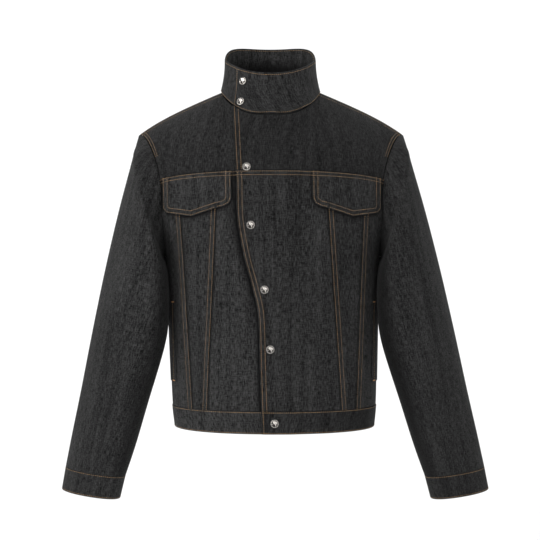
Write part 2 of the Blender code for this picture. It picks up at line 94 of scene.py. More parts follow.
add_lamp("key", (-2.6, -2.2, 1.2), (0.0, 0.0, -0.3), 1.6, 70.0)
add_lamp("fill", (2.6, -2.2, 0.4), (0.0, 0.0, -0.3), 1.8, 6.0)
print(len(bpy.data.lights), "lamps")

# %% [markdown]
# ## Sizes that every piece shares
# All sizes are in metres. The origin is the base of the neck, +Z is up, the front faces -Y and the wearer's
# left is +X. They are the solid model's own sizes, so each shell falls on its solid.
#
# The body could be sculpted, but then no two panels would quite meet. Here one short table of rings gives
# the form for all of them, a row for each height where the outline changes.

# %% Cloth and gaps
LAYER = 0.0015  # one layer of denim
BAND = 0.0026  # the doubled cloth of collar, cuffs and waistband
FLAP_WALL = 0.0022
WELT_WALL = 0.0013
SEAM_GAP = 0.0003
LAP_GAP = 0.0007  # between the two fronts, and under what lies on a panel
FRONT, BACK, RIGHT, LEFT = -1, 1, -1, 1
HANDS = ((RIGHT, "right"), (LEFT, "left"))
print("one layer is", LAYER * 1000, "mm thick, a band", BAND * 1000)

# %% Heights and widths of the body
YOKE_HEIGHT = -0.160
HEM_HEIGHT = -0.611
WAISTBAND_TOP = -0.572
ARMPIT_HEIGHT = -0.300
ARMHOLE_CENTRE = -0.187
ARMHOLE_HALF_HEIGHT = ARMHOLE_CENTRE - ARMPIT_HEIGHT
ARMHOLE_DEPTH_SHARE = 0.57  # of the body's depth
NECK_HALF_WIDTH = 0.0890
NECK_CENTRE_Y = -0.012
NECK_HALF_DEPTH = 0.087
NECK_SQUARENESS = 2.15  # of its front half
SHOULDER_HALF_WIDTH = 0.2415
SHOULDER_SEAM_Y = -0.004
SHOULDER_SLOPE = 0.44
SHOULDER_ROUNDING = 0.030  # of the shoulder line where it would cross the neck
SHOULDER_DROOP = 0.011
SHOULDER_TURN = 0.14  # how steeply the cloth crosses the shoulder seam
SHOULDER_SPREAD = 1.3  # how late above the yoke line the cloth widens
BACK_FULLNESS = 2.55  # how upright the back stays below the neck
FRONT_FULLNESS = 1.08  # how far forward the front stays below the neck
UPPER_LENGTH = 0.120  # nominal run of the cloth above the yoke line
print("shoulders", 2 * SHOULDER_HALF_WIDTH, "m wide; hem", round(-HEM_HEIGHT, 3), "m below the neck")

# %% Rings of the body
Ring = namedtuple("Ring", "height half_width front_depth back_depth squareness")
BODY_RINGS = (
    Ring(-0.611, 0.1815, 0.135, 0.118, 2.15),
    Ring(-0.572, 0.1855, 0.134, 0.116, 2.2),
    Ring(-0.500, 0.1880, 0.132, 0.112, 2.25),
    Ring(-0.400, 0.1910, 0.130, 0.111, 2.3),
    Ring(-0.340, 0.1930, 0.131, 0.114, 2.3),
    Ring(-0.300, 0.1965, 0.132, 0.117, 2.3),
    Ring(-0.260, 0.2075, 0.133, 0.120, 2.35),
    Ring(-0.220, 0.2190, 0.134, 0.122, 2.4),
    Ring(-0.160, 0.2235, 0.131, 0.120, 2.4),
)
print(len(BODY_RINGS), "rings, the widest", 2 * BODY_RINGS[-1].half_width, "m")

# %% [markdown]
# ## Small maths
# Cloth is easiest to shape when a whole panel moves at once, so every function here takes single numbers or
# whole arrays. Modifiers could do some of it, but a formula gives the same point to every piece that asks
# for it, and that is what keeps seams, stitches and snaps on the cloth.

# %% Blending
def mix(a, b, share):
    return a + (b - a) * share


def smooth(share):
    share = np.clip(share, 0.0, 1.0)
    return share * share * (3.0 - 2.0 * share)


def power(value, exponent):
    return np.sign(value) * np.abs(value) ** exponent


def point(x, y, z):
    return np.stack(np.broadcast_arrays(x, y, z), axis=-1)


def unit(vectors):
    return vectors / np.linalg.norm(vectors, axis=-1, keepdims=True)


print("a quarter of the way, a smooth step is at", float(smooth(0.25)))

# %% Curves through the rows of a table
def hermite(start, end, start_run, end_run, t):
    """The curve from start to end that leaves and arrives in given directions."""
    t2 = t * t
    t3 = t2 * t
    return (
        start * (2 * t3 - 3 * t2 + 1)
        + end * (3 * t2 - 2 * t3)
        + start_run * (t3 - 2 * t2 + t)
        + end_run * (t3 - t2)
    )


def along_rows(rows, height):
    """A named row between the rows of a table, on a smooth curve through its columns."""
    table = np.array(rows)
    height = np.asarray(height, float)
    place = np.clip(np.searchsorted(table[:, 0], height, side="right") - 1, 0, len(rows) - 2)
    low, high = table[place], table[place + 1]
    before, after = table[np.maximum(place - 1, 0)], table[np.minimum(place + 2, len(rows) - 1)]
    span = (high - low)[..., :1]
    t = (height[..., None] - low[..., :1]) / span
    run_low = (high - before) / (high - before)[..., :1] * span
    run_high = (after - low) / (after - low)[..., :1] * span
    return type(rows[0])(*np.moveaxis(hermite(low, high, run_low, run_high, t), -1, 0))


print("half the width at the armpits", round(float(along_rows(BODY_RINGS, ARMPIT_HEIGHT).half_width), 3))

# %% Searching, and raising a point off a surface
def solve(below, low, high, steps=26):
    """Where a condition stops being true between two arrays."""
    for _ in range(steps):
        middle = (low + high) / 2
        true = below(middle)
        low, high = np.where(true, middle, low), np.where(true, high, middle)
    return low


def raised(point_at, first, second, distance, step=0.001):
    """point_at(first, second), moved out from the surface by distance."""
    across = point_at(first + step, second) - point_at(first - step, second)
    up = point_at(first, second + step) - point_at(first, second - step)
    distance = np.asarray(distance, float)
    return point_at(first, second) + unit(np.cross(across, up)) * distance[..., None]


print("the root of 2 is", round(float(solve(lambda v: v * v < 2.0, np.array(0.0), np.array(2.0))), 4))

# %% [markdown]
# ## The body form
# Below the yoke line a filled-out jacket is a stack of squared ovals. Above it, the cloth runs up over the
# chest or the shoulder blades to a ridge along each shoulder, and an oval neck is cut from it. A subdivided
# cage would round this off in its own way; formulas put the seams, the armholes and the neck exactly where
# they belong.

# %% Squared ovals, cut away at the armholes
def armhole_share(height):
    offset = (height - ARMHOLE_CENTRE) / ARMHOLE_HALF_HEIGHT
    inside = np.where(height <= ARMPIT_HEIGHT, 0.0, 1.0 - offset * offset)
    return ARMHOLE_DEPTH_SHARE * np.sqrt(np.maximum(inside, 0.0))


def ring_size(height):
    ring = along_rows(BODY_RINGS, height)
    return ring, np.arccos(armhole_share(height) ** (ring.squareness / 2.0))


def ring_point(angle, height):
    ring = along_rows(BODY_RINGS, height)
    exponent = 2.0 / ring.squareness
    depth = np.where(np.cos(angle) > 0, ring.front_depth, ring.back_depth)
    x = ring.half_width * power(np.sin(angle), exponent)
    return point(x, -depth * power(np.cos(angle), exponent), height)


print("front of the hem", np.round(ring_point(np.array(0.0), np.array(HEM_HEIGHT)), 3))

# %% The shoulder ridge
def ridge_point(x):
    rounded = np.hypot(x, SHOULDER_ROUNDING) - math.hypot(NECK_HALF_WIDTH, SHOULDER_ROUNDING)
    beyond = np.maximum(0.0, (np.abs(x) - NECK_HALF_WIDTH) / (SHOULDER_HALF_WIDTH - NECK_HALF_WIDTH))
    y = mix(NECK_CENTRE_Y, SHOULDER_SEAM_Y, np.abs(x) / SHOULDER_HALF_WIDTH)
    return point(x, y, -SHOULDER_SLOPE * rounded - SHOULDER_DROOP * beyond**4)


YOKE_REACH = ring_size(YOKE_HEIGHT)[1]
WIDEST = SHOULDER_HALF_WIDTH / ring_point(YOKE_REACH, YOKE_HEIGHT)[0]


def spread(level):
    return mix(1.0, WIDEST, np.maximum(0.0, level / UPPER_LENGTH) ** SHOULDER_SPREAD)


print("the cloth widens above the yoke line by", round(float(WIDEST), 3))

# %% Any point of the body
def low_point(side, share, level):
    height = YOKE_HEIGHT + np.minimum(level, 0.0)
    angle = share * ring_size(height)[1]
    return ring_point(angle if side == FRONT else math.pi - angle, height)


def body_point(side, share, level):
    """share runs from centre line to armhole or side seam, level from the yoke line."""
    share, level = np.broadcast_arrays(np.asarray(share, float), np.asarray(level, float))
    step = 0.01
    low = low_point(side, share, level)
    climb = (low - low_point(side, share, np.minimum(level, 0.0) - step))[..., 1] / step
    end = ridge_point(low[..., 0] * WIDEST)
    chord = np.hypot(end[..., 1] - low[..., 1], end[..., 2] - low[..., 2])
    outward = np.abs(end[..., 0]) / SHOULDER_HALF_WIDTH
    if side == FRONT:
        rise, turn = UPPER_LENGTH, chord * mix(FRONT_FULLNESS, 0.9, outward)
    else:
        rise, turn = chord * mix(BACK_FULLNESS, 1.1, outward), -chord * 1.2
    t = np.maximum(level, 0.0) / UPPER_LENGTH
    y = hermite(low[..., 1], end[..., 1], climb * rise, turn, t)
    z = hermite(low[..., 2], end[..., 2], rise, turn * SHOULDER_TURN, t)
    high = point(low[..., 0] * spread(level), y, z)
    return np.where((level <= 0)[..., None], low, high)


print("chest", np.round(body_point(FRONT, 0.4, 0.03), 3), "back", np.round(body_point(BACK, 0.4, 0.03), 3))

# %% Where the neck cuts the body
def share_at(x, level):
    """The share at which a point of the front or back has this x."""
    ring, reach = ring_size(YOKE_HEIGHT + np.minimum(level, 0.0))
    part = np.minimum(1.0, np.abs(x) / spread(level) / ring.half_width)
    return np.sign(x) * np.arcsin(part ** (ring.squareness / 2.0)) / reach


def outside_neck(place):
    across = place[..., 0] / NECK_HALF_WIDTH
    along = (place[..., 1] - NECK_CENTRE_Y) / NECK_HALF_DEPTH
    bend = np.where(along < 0, NECK_SQUARENESS, 2.0)
    return np.abs(across) ** bend + np.abs(along) ** bend > 1.0


NECK_SHARE = float(share_at(NECK_HALF_WIDTH, UPPER_LENGTH))


def neck_level(side, share):
    """The level of the neck edge, or of the shoulder seam beyond it."""
    flat = np.zeros_like(share)
    level = solve(lambda v: outside_neck(body_point(side, share, v)), flat, flat + UPPER_LENGTH)
    return np.where(np.abs(share) >= NECK_SHARE - 1e-9, UPPER_LENGTH, level)


print("the neck meets the shoulder at share", round(NECK_SHARE, 3))

# %% The neck and armhole edges
def neck_curve(angle):
    """The neck edge all round, found once for the collar to stand on."""
    bend = np.where(np.cos(angle) > 0, 2.0 / NECK_SQUARENESS, 1.0)
    x = NECK_HALF_WIDTH * power(np.sin(angle), bend)
    y = NECK_CENTRE_Y - NECK_HALF_DEPTH * power(np.cos(angle), bend)
    flat = np.zeros_like(angle)
    places = []
    for side in (FRONT, BACK):
        level = solve(
            lambda v: (body_point(side, share_at(x, v), v)[..., 1] - y) * side > 0, flat, flat + UPPER_LENGTH
        )
        places.append(body_point(side, share_at(x, level), level))
    return np.where((np.cos(angle) >= 0)[..., None], places[0], places[1])


def armhole_curve(turn):
    """The left armhole: turn 0 is the shoulder point, a quarter turn the front, half the armpit."""
    height = ARMHOLE_CENTRE + ARMHOLE_HALF_HEIGHT * np.cos(turn)
    flat = np.zeros_like(turn)
    places = []
    for side in (FRONT, BACK):
        level = solve(lambda v: body_point(side, 1.0, v)[..., 2] < height, flat, flat + UPPER_LENGTH)
        level = np.where(height <= YOKE_HEIGHT, height - YOKE_HEIGHT, level)
        places.append(body_point(side, 1.0, level))
    return np.where((np.sin(turn) >= 0)[..., None], places[0], places[1])


ROUND = np.linspace(0.0, 2 * math.pi, 1441)
NECK_EDGE = neck_curve(ROUND)
ARMHOLE_EDGE = armhole_curve(ROUND)


def on_curve(curve, angle):
    angle = np.mod(angle, 2 * math.pi)
    return np.stack([np.interp(angle, ROUND, curve[:, axis]) for axis in range(3)], axis=-1)


girth = np.linalg.norm(np.diff(NECK_EDGE, axis=0), axis=1).sum()
print("neck edge", round(float(girth), 3), "m round; armhole from", np.round(ARMHOLE_EDGE[0], 3))

# %% [markdown]
# ## Creases
# Worn raw denim is stiff, so its folds are few, broad and shallow. A cloth simulation would also drag the
# fitted seams about, so each fold is listed one by one: it runs from one point to another, fades at both
# ends, and stands out or sinks in by its depth. The body's folds are given across and up the jacket, the
# sleeves' and the collar's by degrees round and by share of the length.

# %% Folds of the fronts and back
Fold = namedtuple("Fold", "x1 z1 x2 z2 width depth")
FRONT_FOLDS = (
    Fold(0.060, -0.060, 0.047, -0.230, 0.0035, -0.0006),
    Fold(0.048, -0.190, 0.030, -0.360, 0.0035, -0.0007),
    Fold(0.031, -0.330, 0.027, -0.590, 0.0035, -0.0007),
    Fold(-0.150, -0.200, -0.120, -0.330, 0.014, 0.0011),
    Fold(-0.052, -0.380, -0.040, -0.560, 0.012, 0.0014),
    Fold(-0.078, -0.300, -0.066, -0.500, 0.015, -0.0012),
    Fold(-0.118, -0.420, -0.108, -0.565, 0.010, 0.0008),
    Fold(0.085, -0.060, 0.050, -0.180, 0.018, 0.0014),
    Fold(0.150, -0.120, 0.090, -0.150, 0.016, -0.0010),
    Fold(-0.150, -0.095, -0.095, -0.140, 0.015, 0.0012),
    Fold(0.078, -0.330, 0.066, -0.520, 0.013, 0.0012),
    Fold(0.126, -0.260, 0.140, -0.420, 0.012, -0.0009),
    Fold(0.170, -0.300, 0.178, -0.430, 0.010, 0.0010),
    Fold(-0.180, -0.290, -0.168, -0.420, 0.009, -0.0010),
    Fold(-0.014, -0.420, -0.004, -0.565, 0.011, -0.0008),
)
BACK_FOLDS = (
    Fold(-0.165, -0.180, -0.080, -0.250, 0.020, 0.0022),
    Fold(0.170, -0.200, 0.095, -0.300, 0.018, 0.0020),
    Fold(-0.120, -0.300, -0.100, -0.480, 0.016, -0.0018),
    Fold(-0.060, -0.350, -0.066, -0.560, 0.018, 0.0020),
    Fold(0.030, -0.300, 0.020, -0.520, 0.022, -0.0016),
    Fold(0.096, -0.380, 0.104, -0.570, 0.014, 0.0018),
    Fold(0.150, -0.330, 0.160, -0.520, 0.013, -0.0014),
    Fold(-0.150, -0.100, -0.110, -0.200, 0.020, 0.0014),
    Fold(0.120, -0.080, 0.080, -0.190, 0.022, 0.0012),
    Fold(0.000, -0.030, 0.000, -0.140, 0.030, -0.0012),
)
print(len(FRONT_FOLDS), "folds in front and", len(BACK_FOLDS), "behind")

# %% Folds of the sleeves and collar
SLEEVE_FOLDS = (
    Fold(60.0, 0.30, 120.0, 0.36, 0.016, -0.0016),
    Fold(40.0, 0.52, 110.0, 0.46, 0.014, 0.0018),
    Fold(70.0, 0.58, 130.0, 0.52, 0.012, -0.0014),
    Fold(20.0, 0.12, 60.0, 0.24, 0.018, 0.0016),
    Fold(100.0, 0.66, 60.0, 0.84, 0.014, 0.0014),
    Fold(130.0, 0.62, 150.0, 0.90, 0.012, -0.0014),
    Fold(210.0, 0.30, 280.0, 0.38, 0.018, 0.0022),
    Fold(215.0, 0.48, 290.0, 0.44, 0.015, -0.0024),
    Fold(220.0, 0.55, 300.0, 0.58, 0.016, 0.0020),
    Fold(320.0, 0.10, 290.0, 0.26, 0.020, 0.0016),
    Fold(250.0, 0.68, 280.0, 0.92, 0.015, -0.0014),
)
COLLAR_FOLDS = (
    Fold(-28.0, 0.72, 2.0, 0.18, 0.0060, -0.0011),
    Fold(-20.0, 0.86, 24.0, 0.52, 0.0080, 0.0009),
    Fold(70.0, 0.10, 58.0, 0.80, 0.0100, 0.0008),
    Fold(150.0, 0.15, 170.0, 0.85, 0.0120, -0.0010),
    Fold(215.0, 0.20, 200.0, 0.80, 0.0110, 0.0010),
    Fold(292.0, 0.15, 300.0, 0.75, 0.0100, -0.0008),
)
print(len(SLEEVE_FOLDS), "folds on each sleeve and", len(COLLAR_FOLDS), "on the collar")

# %% How folds move the cloth
def crease(folds, across, up):
    """How far the cloth stands out at a place, from all the folds near it."""
    total = np.zeros(np.broadcast(across, up).shape)
    for fold in folds:
        run = (fold.x2 - fold.x1, fold.z2 - fold.z1)
        length = math.hypot(*run)
        along = ((across - fold.x1) * run[0] + (up - fold.z1) * run[1]) / length**2
        aside = ((across - fold.x1) * run[1] - (up - fold.z1) * run[0]) / length
        ends = smooth(along / 0.3) * smooth((1.0 - along) / 0.4)
        total += fold.depth * ends * np.exp(-((aside / fold.width) ** 2))
    return total


def tube_crease(folds, degrees, share, radius, length):
    """The same round a tube, where folds are given in degrees and shares."""
    reach = math.radians(1.0) * radius
    flat = [Fold(f.x1 * reach, f.z1 * length, f.x2 * reach, f.z2 * length, f.width, f.depth) for f in folds]
    turns = (degrees - 360.0, degrees, degrees + 360.0)
    return sum(crease(flat, turn * reach, share * length) for turn in turns)


print("the chest stands out by", round(1000 * float(crease(FRONT_FOLDS, 0.07, -0.11)), 2), "mm at one fold")

# %% [markdown]
# ## Seams
# Two seams run down each front, closing to a V, and the yoke seam falls a little towards the arms. They
# could be cut into one finished mesh, but panels that are built between seam lines keep clean edges. Each
# line is given as the x, or the level above the yoke line, where it runs.

# %% Seam lines
INNER_SEAM_AT_YOKE = 0.0945
INNER_SEAM_LEAN = 0.0562
OUTER_SEAM_AT_YOKE = 0.1647
OUTER_SEAM_LEAN = -0.0505
YOKE_SEAM_RISE = 0.007
YOKE_SEAM_FALL = 0.011


def yoke_level(share):
    return YOKE_SEAM_RISE - YOKE_SEAM_FALL * share * share


def inner_seam(level):
    return INNER_SEAM_AT_YOKE - INNER_SEAM_LEAN * level


def outer_seam(level):
    return OUTER_SEAM_AT_YOKE - OUTER_SEAM_LEAN * level


print("middle panels are", round(outer_seam(0.0) - inner_seam(0.0), 3), "m wide at the yoke")

# %% [markdown]
# The front closes on a curve that starts at one side of the collar and ends near the middle of the hem. The
# table gives, for some levels, the x where the wearer's left front ends over the right one, and the x where
# the right one ends under it.

# %% The two front edges
Edge = namedtuple("Edge", "height over under")
FRONT_EDGES = (
    Edge(-0.452, -0.0220, 0.022),
    Edge(-0.340, -0.0245, 0.022),
    Edge(-0.240, -0.0268, 0.024),
    Edge(-0.195, -0.0360, 0.028),
    Edge(-0.140, -0.0500, 0.034),
    Edge(-0.075, -0.0604, 0.041),
    Edge(0.000, -0.0618, 0.046),
    Edge(0.120, -0.0705, 0.056),
)


def front_edge(hand, level):
    row = along_rows(FRONT_EDGES, level)
    return row.over if hand == LEFT else row.under


print("the fronts overlap by", round(1000 * (FRONT_EDGES[2].under - FRONT_EDGES[2].over)), "mm at the chest")

# %% [markdown]
# ## Surfaces
# Each function here gives the points of one part of the jacket at a chosen distance outside its form,
# creases included. The two faces of a shell are then two calls, and whatever lies on a panel follows it
# exactly, which a shrinkwrapped copy would do only roughly. The wearer's left front rides over the right
# one by a layer of cloth, and each sewn seam has the step of a doubled edge.

# %% Fronts and back
RAMP_START = 0.002  # past the edge of the right front
RAMP_LENGTH = 0.012  # over which the raised left front settles beside the right one
FELL_STEP = 0.0009
FELL_WIDTH = 0.011
EDGE_LIFT, EDGE_LIFT_WIDTH = 0.0010, 0.012  # of the left front, along its edge
EDGE_DIP, EDGE_DIP_WIDTH = 0.0042, 0.013  # of the right front, beside that edge


def lap_lift(past):
    """How far the raised front stands out, by how far a place is past the edge of the lower one."""
    return (LAYER + LAP_GAP) * (1.0 - smooth((past - RAMP_START) / RAMP_LENGTH))


def fell(past):
    """The step of a felled seam: a doubled edge that thins out past its two lines of stitches."""
    return np.where(past >= 0, FELL_STEP * (1.0 - smooth(past / FELL_WIDTH)), 0.0)


def front_surface(hand):
    def surface(share, level, distance=0.0):
        x = body_point(FRONT, share, level)[..., 0]
        edges = along_rows(FRONT_EDGES, level)
        lift = crease(FRONT_FOLDS, x, YOKE_HEIGHT + level) + fell(yoke_level(share) - level)
        upright = fell(np.abs(x) - inner_seam(level)) + fell(np.abs(x) - outer_seam(level))
        lift = lift + np.where(level < 0, upright, 0.0)
        if hand == LEFT:
            lift = lift + lap_lift(x - edges.under)
            lift = lift + EDGE_LIFT * np.exp(-(((x - edges.over) / EDGE_LIFT_WIDTH) ** 2))
        else:
            fade = 0.2 + smooth((-0.02 - level) / 0.05) * smooth((level + 0.28) / 0.10)
            lift = lift - EDGE_DIP * fade * np.exp(-((np.maximum(0.0, edges.over - x) / EDGE_DIP_WIDTH) ** 2))
        return raised(lambda s, v: body_point(FRONT, s, v), share, level, lift + distance)

    return surface


def back_surface(share, level, distance=0.0):
    x = -body_point(BACK, share, level)[..., 0]
    lift = crease(BACK_FOLDS, x, YOKE_HEIGHT + level)
    return raised(lambda s, v: body_point(BACK, -s, v), share, level, lift + distance)


print("front at the yoke line", np.round(front_surface(RIGHT)(np.array(-0.5), np.array(0.0)), 4))

# %% The surface of the collar
COLLAR_TOP_HALF_WIDTH = 0.0814
COLLAR_TOP_CENTRE_Y = -0.0075
COLLAR_TOP_HALF_DEPTH = 0.0775
COLLAR_SIDE_HEIGHT = 0.060
COLLAR_FRONT_DIP = 0.0355
COLLAR_BACK_RISE = 0.0350
COLLAR_FLARE = 2.0
COLLAR_CLEARANCE = 0.0004  # over the wall of the yokes and back
COLLAR_RADIUS, COLLAR_HEIGHT = 0.085, 0.075  # about, for its folds
COLLAR_SETTLES, COLLAR_SETTLED = 41.0, 71.0  # degrees over which the upper end comes down beside the lower


def collar_form(degrees, share):
    angle = np.radians(degrees)
    forward = np.cos(angle)
    base = on_curve(NECK_EDGE, angle)
    under = along_rows(FRONT_EDGES, np.full_like(angle, UPPER_LENGTH)).under
    wall = LAYER + np.where(forward > 0, lap_lift(base[..., 0] - under), 0.0)
    rise = COLLAR_CLEARANCE + wall * mix(np.where(forward > 0, 0.4, 1.05), 1.0, np.sin(angle) ** 2)
    front = COLLAR_SIDE_HEIGHT - COLLAR_FRONT_DIP * np.maximum(forward, 0.0) ** 1.5
    rear = COLLAR_SIDE_HEIGHT + COLLAR_BACK_RISE * (1.0 - np.minimum(1.0 + forward, 1.0) ** 2.2)
    inward = 1.0 - np.maximum(1.0 - share, 0.0) ** COLLAR_FLARE
    return point(
        mix(base[..., 0], COLLAR_TOP_HALF_WIDTH * np.sin(angle), inward),
        mix(base[..., 1], COLLAR_TOP_CENTRE_Y - COLLAR_TOP_HALF_DEPTH * forward, inward),
        mix(base[..., 2] + rise, np.where(forward > 0, front, rear), share),
    )


def collar_surface(degrees, share, distance=0.0):
    lowered = smooth((degrees - COLLAR_SETTLES) / (COLLAR_SETTLED - COLLAR_SETTLES))
    lift = (BAND + SEAM_GAP) * (1.0 - lowered)
    lift = lift + tube_crease(COLLAR_FOLDS, degrees, share, COLLAR_RADIUS, COLLAR_HEIGHT)
    return raised(collar_form, degrees, share, lift + distance)


print("back of the collar's top", np.round(collar_surface(np.array(180.0), np.array(1.0)), 3))

# %% The surface of the waistband
WAISTBAND_SETTLES, WAISTBAND_SETTLED = 7.0, 16.0  # degrees


def waistband_surface(degrees, height, distance=0.0):
    lowered = smooth((degrees - WAISTBAND_SETTLES) / (WAISTBAND_SETTLED - WAISTBAND_SETTLES))
    lift = (BAND + SEAM_GAP) * (1.0 - lowered)
    return raised(lambda a, h: ring_point(np.radians(a), h), degrees, height, lift + distance)


print("front of the hem", np.round(waistband_surface(np.array(0.0), np.array(HEM_HEIGHT)), 3))

# %% [markdown]
# A sleeve starts on the armhole and passes through flattened ovals, down to the cuff. Each row below gives
# an oval's two ends, on the outside and on the inside of the arm, and half its depth. Sweeping one circle
# along a curve would be shorter, but it couldn't change its tilt and its shape as a sleeve does.

# %% Sections of the sleeve
Section = namedtuple("Section", "outer_x outer_y outer_z inner_x inner_y inner_z half_depth")
SLEEVE_SECTIONS = (
    Section(0.2475, -0.004, -0.0960, 0.1995, -0.032, -0.3060, 0.0722),
    Section(0.2585, -0.004, -0.1350, 0.1932, -0.060, -0.3180, 0.0715),
    Section(0.2820, -0.006, -0.2200, 0.1880, -0.066, -0.3480, 0.0680),
    Section(0.3075, -0.008, -0.3240, 0.1872, -0.070, -0.4020, 0.0645),
    Section(0.3310, -0.012, -0.4330, 0.1955, -0.060, -0.4600, 0.0605),
    Section(0.3535, -0.016, -0.5440, 0.2295, -0.042, -0.5680, 0.0530),
    Section(0.3695, -0.020, -0.6200, 0.2525, -0.040, -0.6430, 0.0460),
    Section(0.3822, -0.024, -0.6835, 0.2720, -0.038, -0.6990, 0.0405),
)
CUFF_END = Section(0.3895, -0.025, -0.7240, 0.2822, -0.038, -0.7395, 0.0400)
SLEEVE_GAP = 0.0024  # between the armhole edge and the sleeve's head
SLEEVE_TOP_GAP = 0.0006  # the same at the shoulder
SHOULDER_CURVE_START, SHOULDER_CURVE_LENGTH = ARMHOLE_CENTRE + 0.085, 0.03
ARMPIT_LIFT = 0.0026  # of the sleeve's underside over the armpit
ARM_ROUNDNESS = 0.92  # power of the sections' curve, where one is an ellipse
SLEEVE_RADIUS, SLEEVE_LENGTH = 0.064, 0.63  # about, for its folds
print(len(SLEEVE_SECTIONS), "sections from armhole to cuff")

# %% The surfaces of sleeves and cuffs
def section_point(section, turn, wall):
    """A point inside a left sleeve section whose ends are on its outside."""
    outer = np.array((section.outer_x, section.outer_y, section.outer_z))
    inner = np.array((section.inner_x, section.inner_y, section.inner_z))
    half = (outer - inner) / 2
    size = np.linalg.norm(half)
    reach = half / size * (size - wall)
    forward = np.array((0.0, wall - section.half_depth, 0.0))
    along = power(np.cos(turn), ARM_ROUNDNESS)[..., None]
    aside = power(np.sin(turn), ARM_ROUNDNESS)[..., None]
    return (outer + inner) / 2 + reach * along + forward * aside


def sleeve_form(turn, share):
    """A point of the left sleeve: share 0 is the armhole and 1 the cuff."""
    turn, share = np.broadcast_arrays(turn, share)
    head = on_curve(ARMHOLE_EDGE, turn)
    at_top = smooth((head[..., 2] - SHOULDER_CURVE_START) / SHOULDER_CURVE_LENGTH)
    gap = mix(SLEEVE_GAP, SLEEVE_TOP_GAP, at_top)
    head = head + point(gap, 0.0, ARMPIT_LIFT * (1.0 - np.cos(turn)) / 2)
    line = [head, head] + [section_point(section, turn, LAYER) for section in SLEEVE_SECTIONS]
    line = np.stack(line + line[-1:])
    place = np.clip(share, 0.0, 0.9999) * (len(line) - 3)
    k = place.astype(int)
    before, low, high, after = (
        np.take_along_axis(line, (k + n)[None, ..., None], axis=0)[0] for n in range(4)
    )
    return hermite(low, high, (high - before) / 2, (after - low) / 2, (place - k)[..., None])


def cuff_form(turn, share):
    ends = [section_point(section, turn, BAND) for section in (SLEEVE_SECTIONS[-1], CUFF_END)]
    return mix(ends[0], ends[1], np.asarray(share)[..., None])


def arm_surface(form, hand, folds=()):
    """A sleeve or cuff of either arm, its turns always counted anticlockwise seen from the hand."""
    mirror = np.array((hand, 1.0, 1.0))

    def surface(turn, share, distance=0.0):
        degrees = np.mod(np.degrees(turn) * hand, 360.0)
        lift = tube_crease(folds, degrees, share, SLEEVE_RADIUS, SLEEVE_LENGTH) if folds else 0.0
        place = lambda t, s: form(hand * t, s) * mirror
        return raised(place, turn, share, lift + distance)

    return surface


print("outside of the left cuff", np.round(arm_surface(cuff_form, LEFT)(np.array(0.0), np.array(1.0)), 3))

# %% The hang of the whole
LEAN = -0.0117  # how far the jacket swings towards the wearer's left, per metre of height


def leaning(points):
    """The whole jacket hangs a little towards the wearer's left."""
    points = np.array(points, float)
    points[..., 0] += LEAN * points[..., 2]
    return points


print("the hem hangs", round(1000 * LEAN * HEM_HEIGHT, 1), "mm to the wearer's left")

# %% [markdown]
# ## Cloth
# A sewn panel is a sheet with two faces and a turned edge. It could be one surface with a Solidify
# modifier, but then every edge would be square. Here a shell is two grids of points, the inside and the
# outside, closed round the rims, and its outermost rows are thinner, so each edge rolls over softly. UV
# coordinates are true lengths in metres, so the weave has the same scale on every piece. A number kept on
# each point sets the cloth's tone there, with its painted shade and painted side light.

# %% Grids
SPACING = 0.0042  # between grid lines
ROLL = 0.0008  # how near the rim the edge starts to roll


def edged(length, spacing=SPACING):
    """Shares from 0 to 1 with two extra lines close to each end."""
    near = np.array((0.0, ROLL, 2.6 * ROLL)) / length
    count = max(2, round(length / spacing))
    middle = np.linspace(near[-1], 1.0 - near[-1], count + 1)
    return np.concatenate((near[:-1], middle, 1.0 - near[-2::-1]))


def grid_lengths(grid):
    across = np.linalg.norm(np.diff(grid, axis=1), axis=-1)
    up = np.linalg.norm(np.diff(grid, axis=0), axis=-1)
    return across, up


def grid_area(grid):
    first = np.cross(grid[1:, 1:] - grid[:-1, :-1], grid[1:, :-1] - grid[:-1, 1:])
    return float(np.linalg.norm(first, axis=-1).sum() / 2)


print("a 0.1 m panel has", len(edged(0.1)), "lines")

# %% Faces of a shell
def shell_faces(index, closed):
    """Faces of the outside, the inside and the rims, for a grid of point numbers."""
    lift = index.max() + 1
    quads = np.stack((index[:-1, :-1], index[:-1, 1:], index[1:, 1:], index[1:, :-1]), axis=-1).reshape(-1, 4)
    foot, head = index[0], index[-1]
    rims = [
        np.stack((foot[:-1], foot[1:], foot[1:] + lift, foot[:-1] + lift), axis=-1),
        np.stack((head[:-1] + lift, head[1:] + lift, head[1:], head[:-1]), axis=-1),
    ]
    if not closed:
        left, right = index[:, 0], index[:, -1]
        rims.append(np.stack((left[:-1], left[:-1] + lift, left[1:] + lift, left[1:]), axis=-1))
        rims.append(np.stack((right[1:], right[1:] + lift, right[:-1] + lift, right[:-1]), axis=-1))
    return np.concatenate([quads + lift, quads[:, ::-1]] + rims)


def add_mesh(name, points, faces, materials):
    mesh = bpy.data.meshes.new(name)
    mesh.from_pydata(points.tolist(), [], faces.tolist())
    for material in materials:
        mesh.materials.append(material)
    mesh.shade_smooth()
    item = bpy.data.objects.new(name, mesh)
    scene.collection.objects.link(item)
    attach(item, "root")
    return item


print("a grid of 2 by 2 points makes", len(shell_faces(np.arange(4).reshape(2, 2), False)), "faces")

# %% One piece of cloth
UPWARD = np.array((0.0, 0.0, 1.0))
TUBE_RADIUS = 0.068  # turns the angle round a sleeve into metres of cloth
UV_SHIFT = 0.37  # from piece to piece, so that no two have the same slubs
cloth_pieces = {}
sheets = []


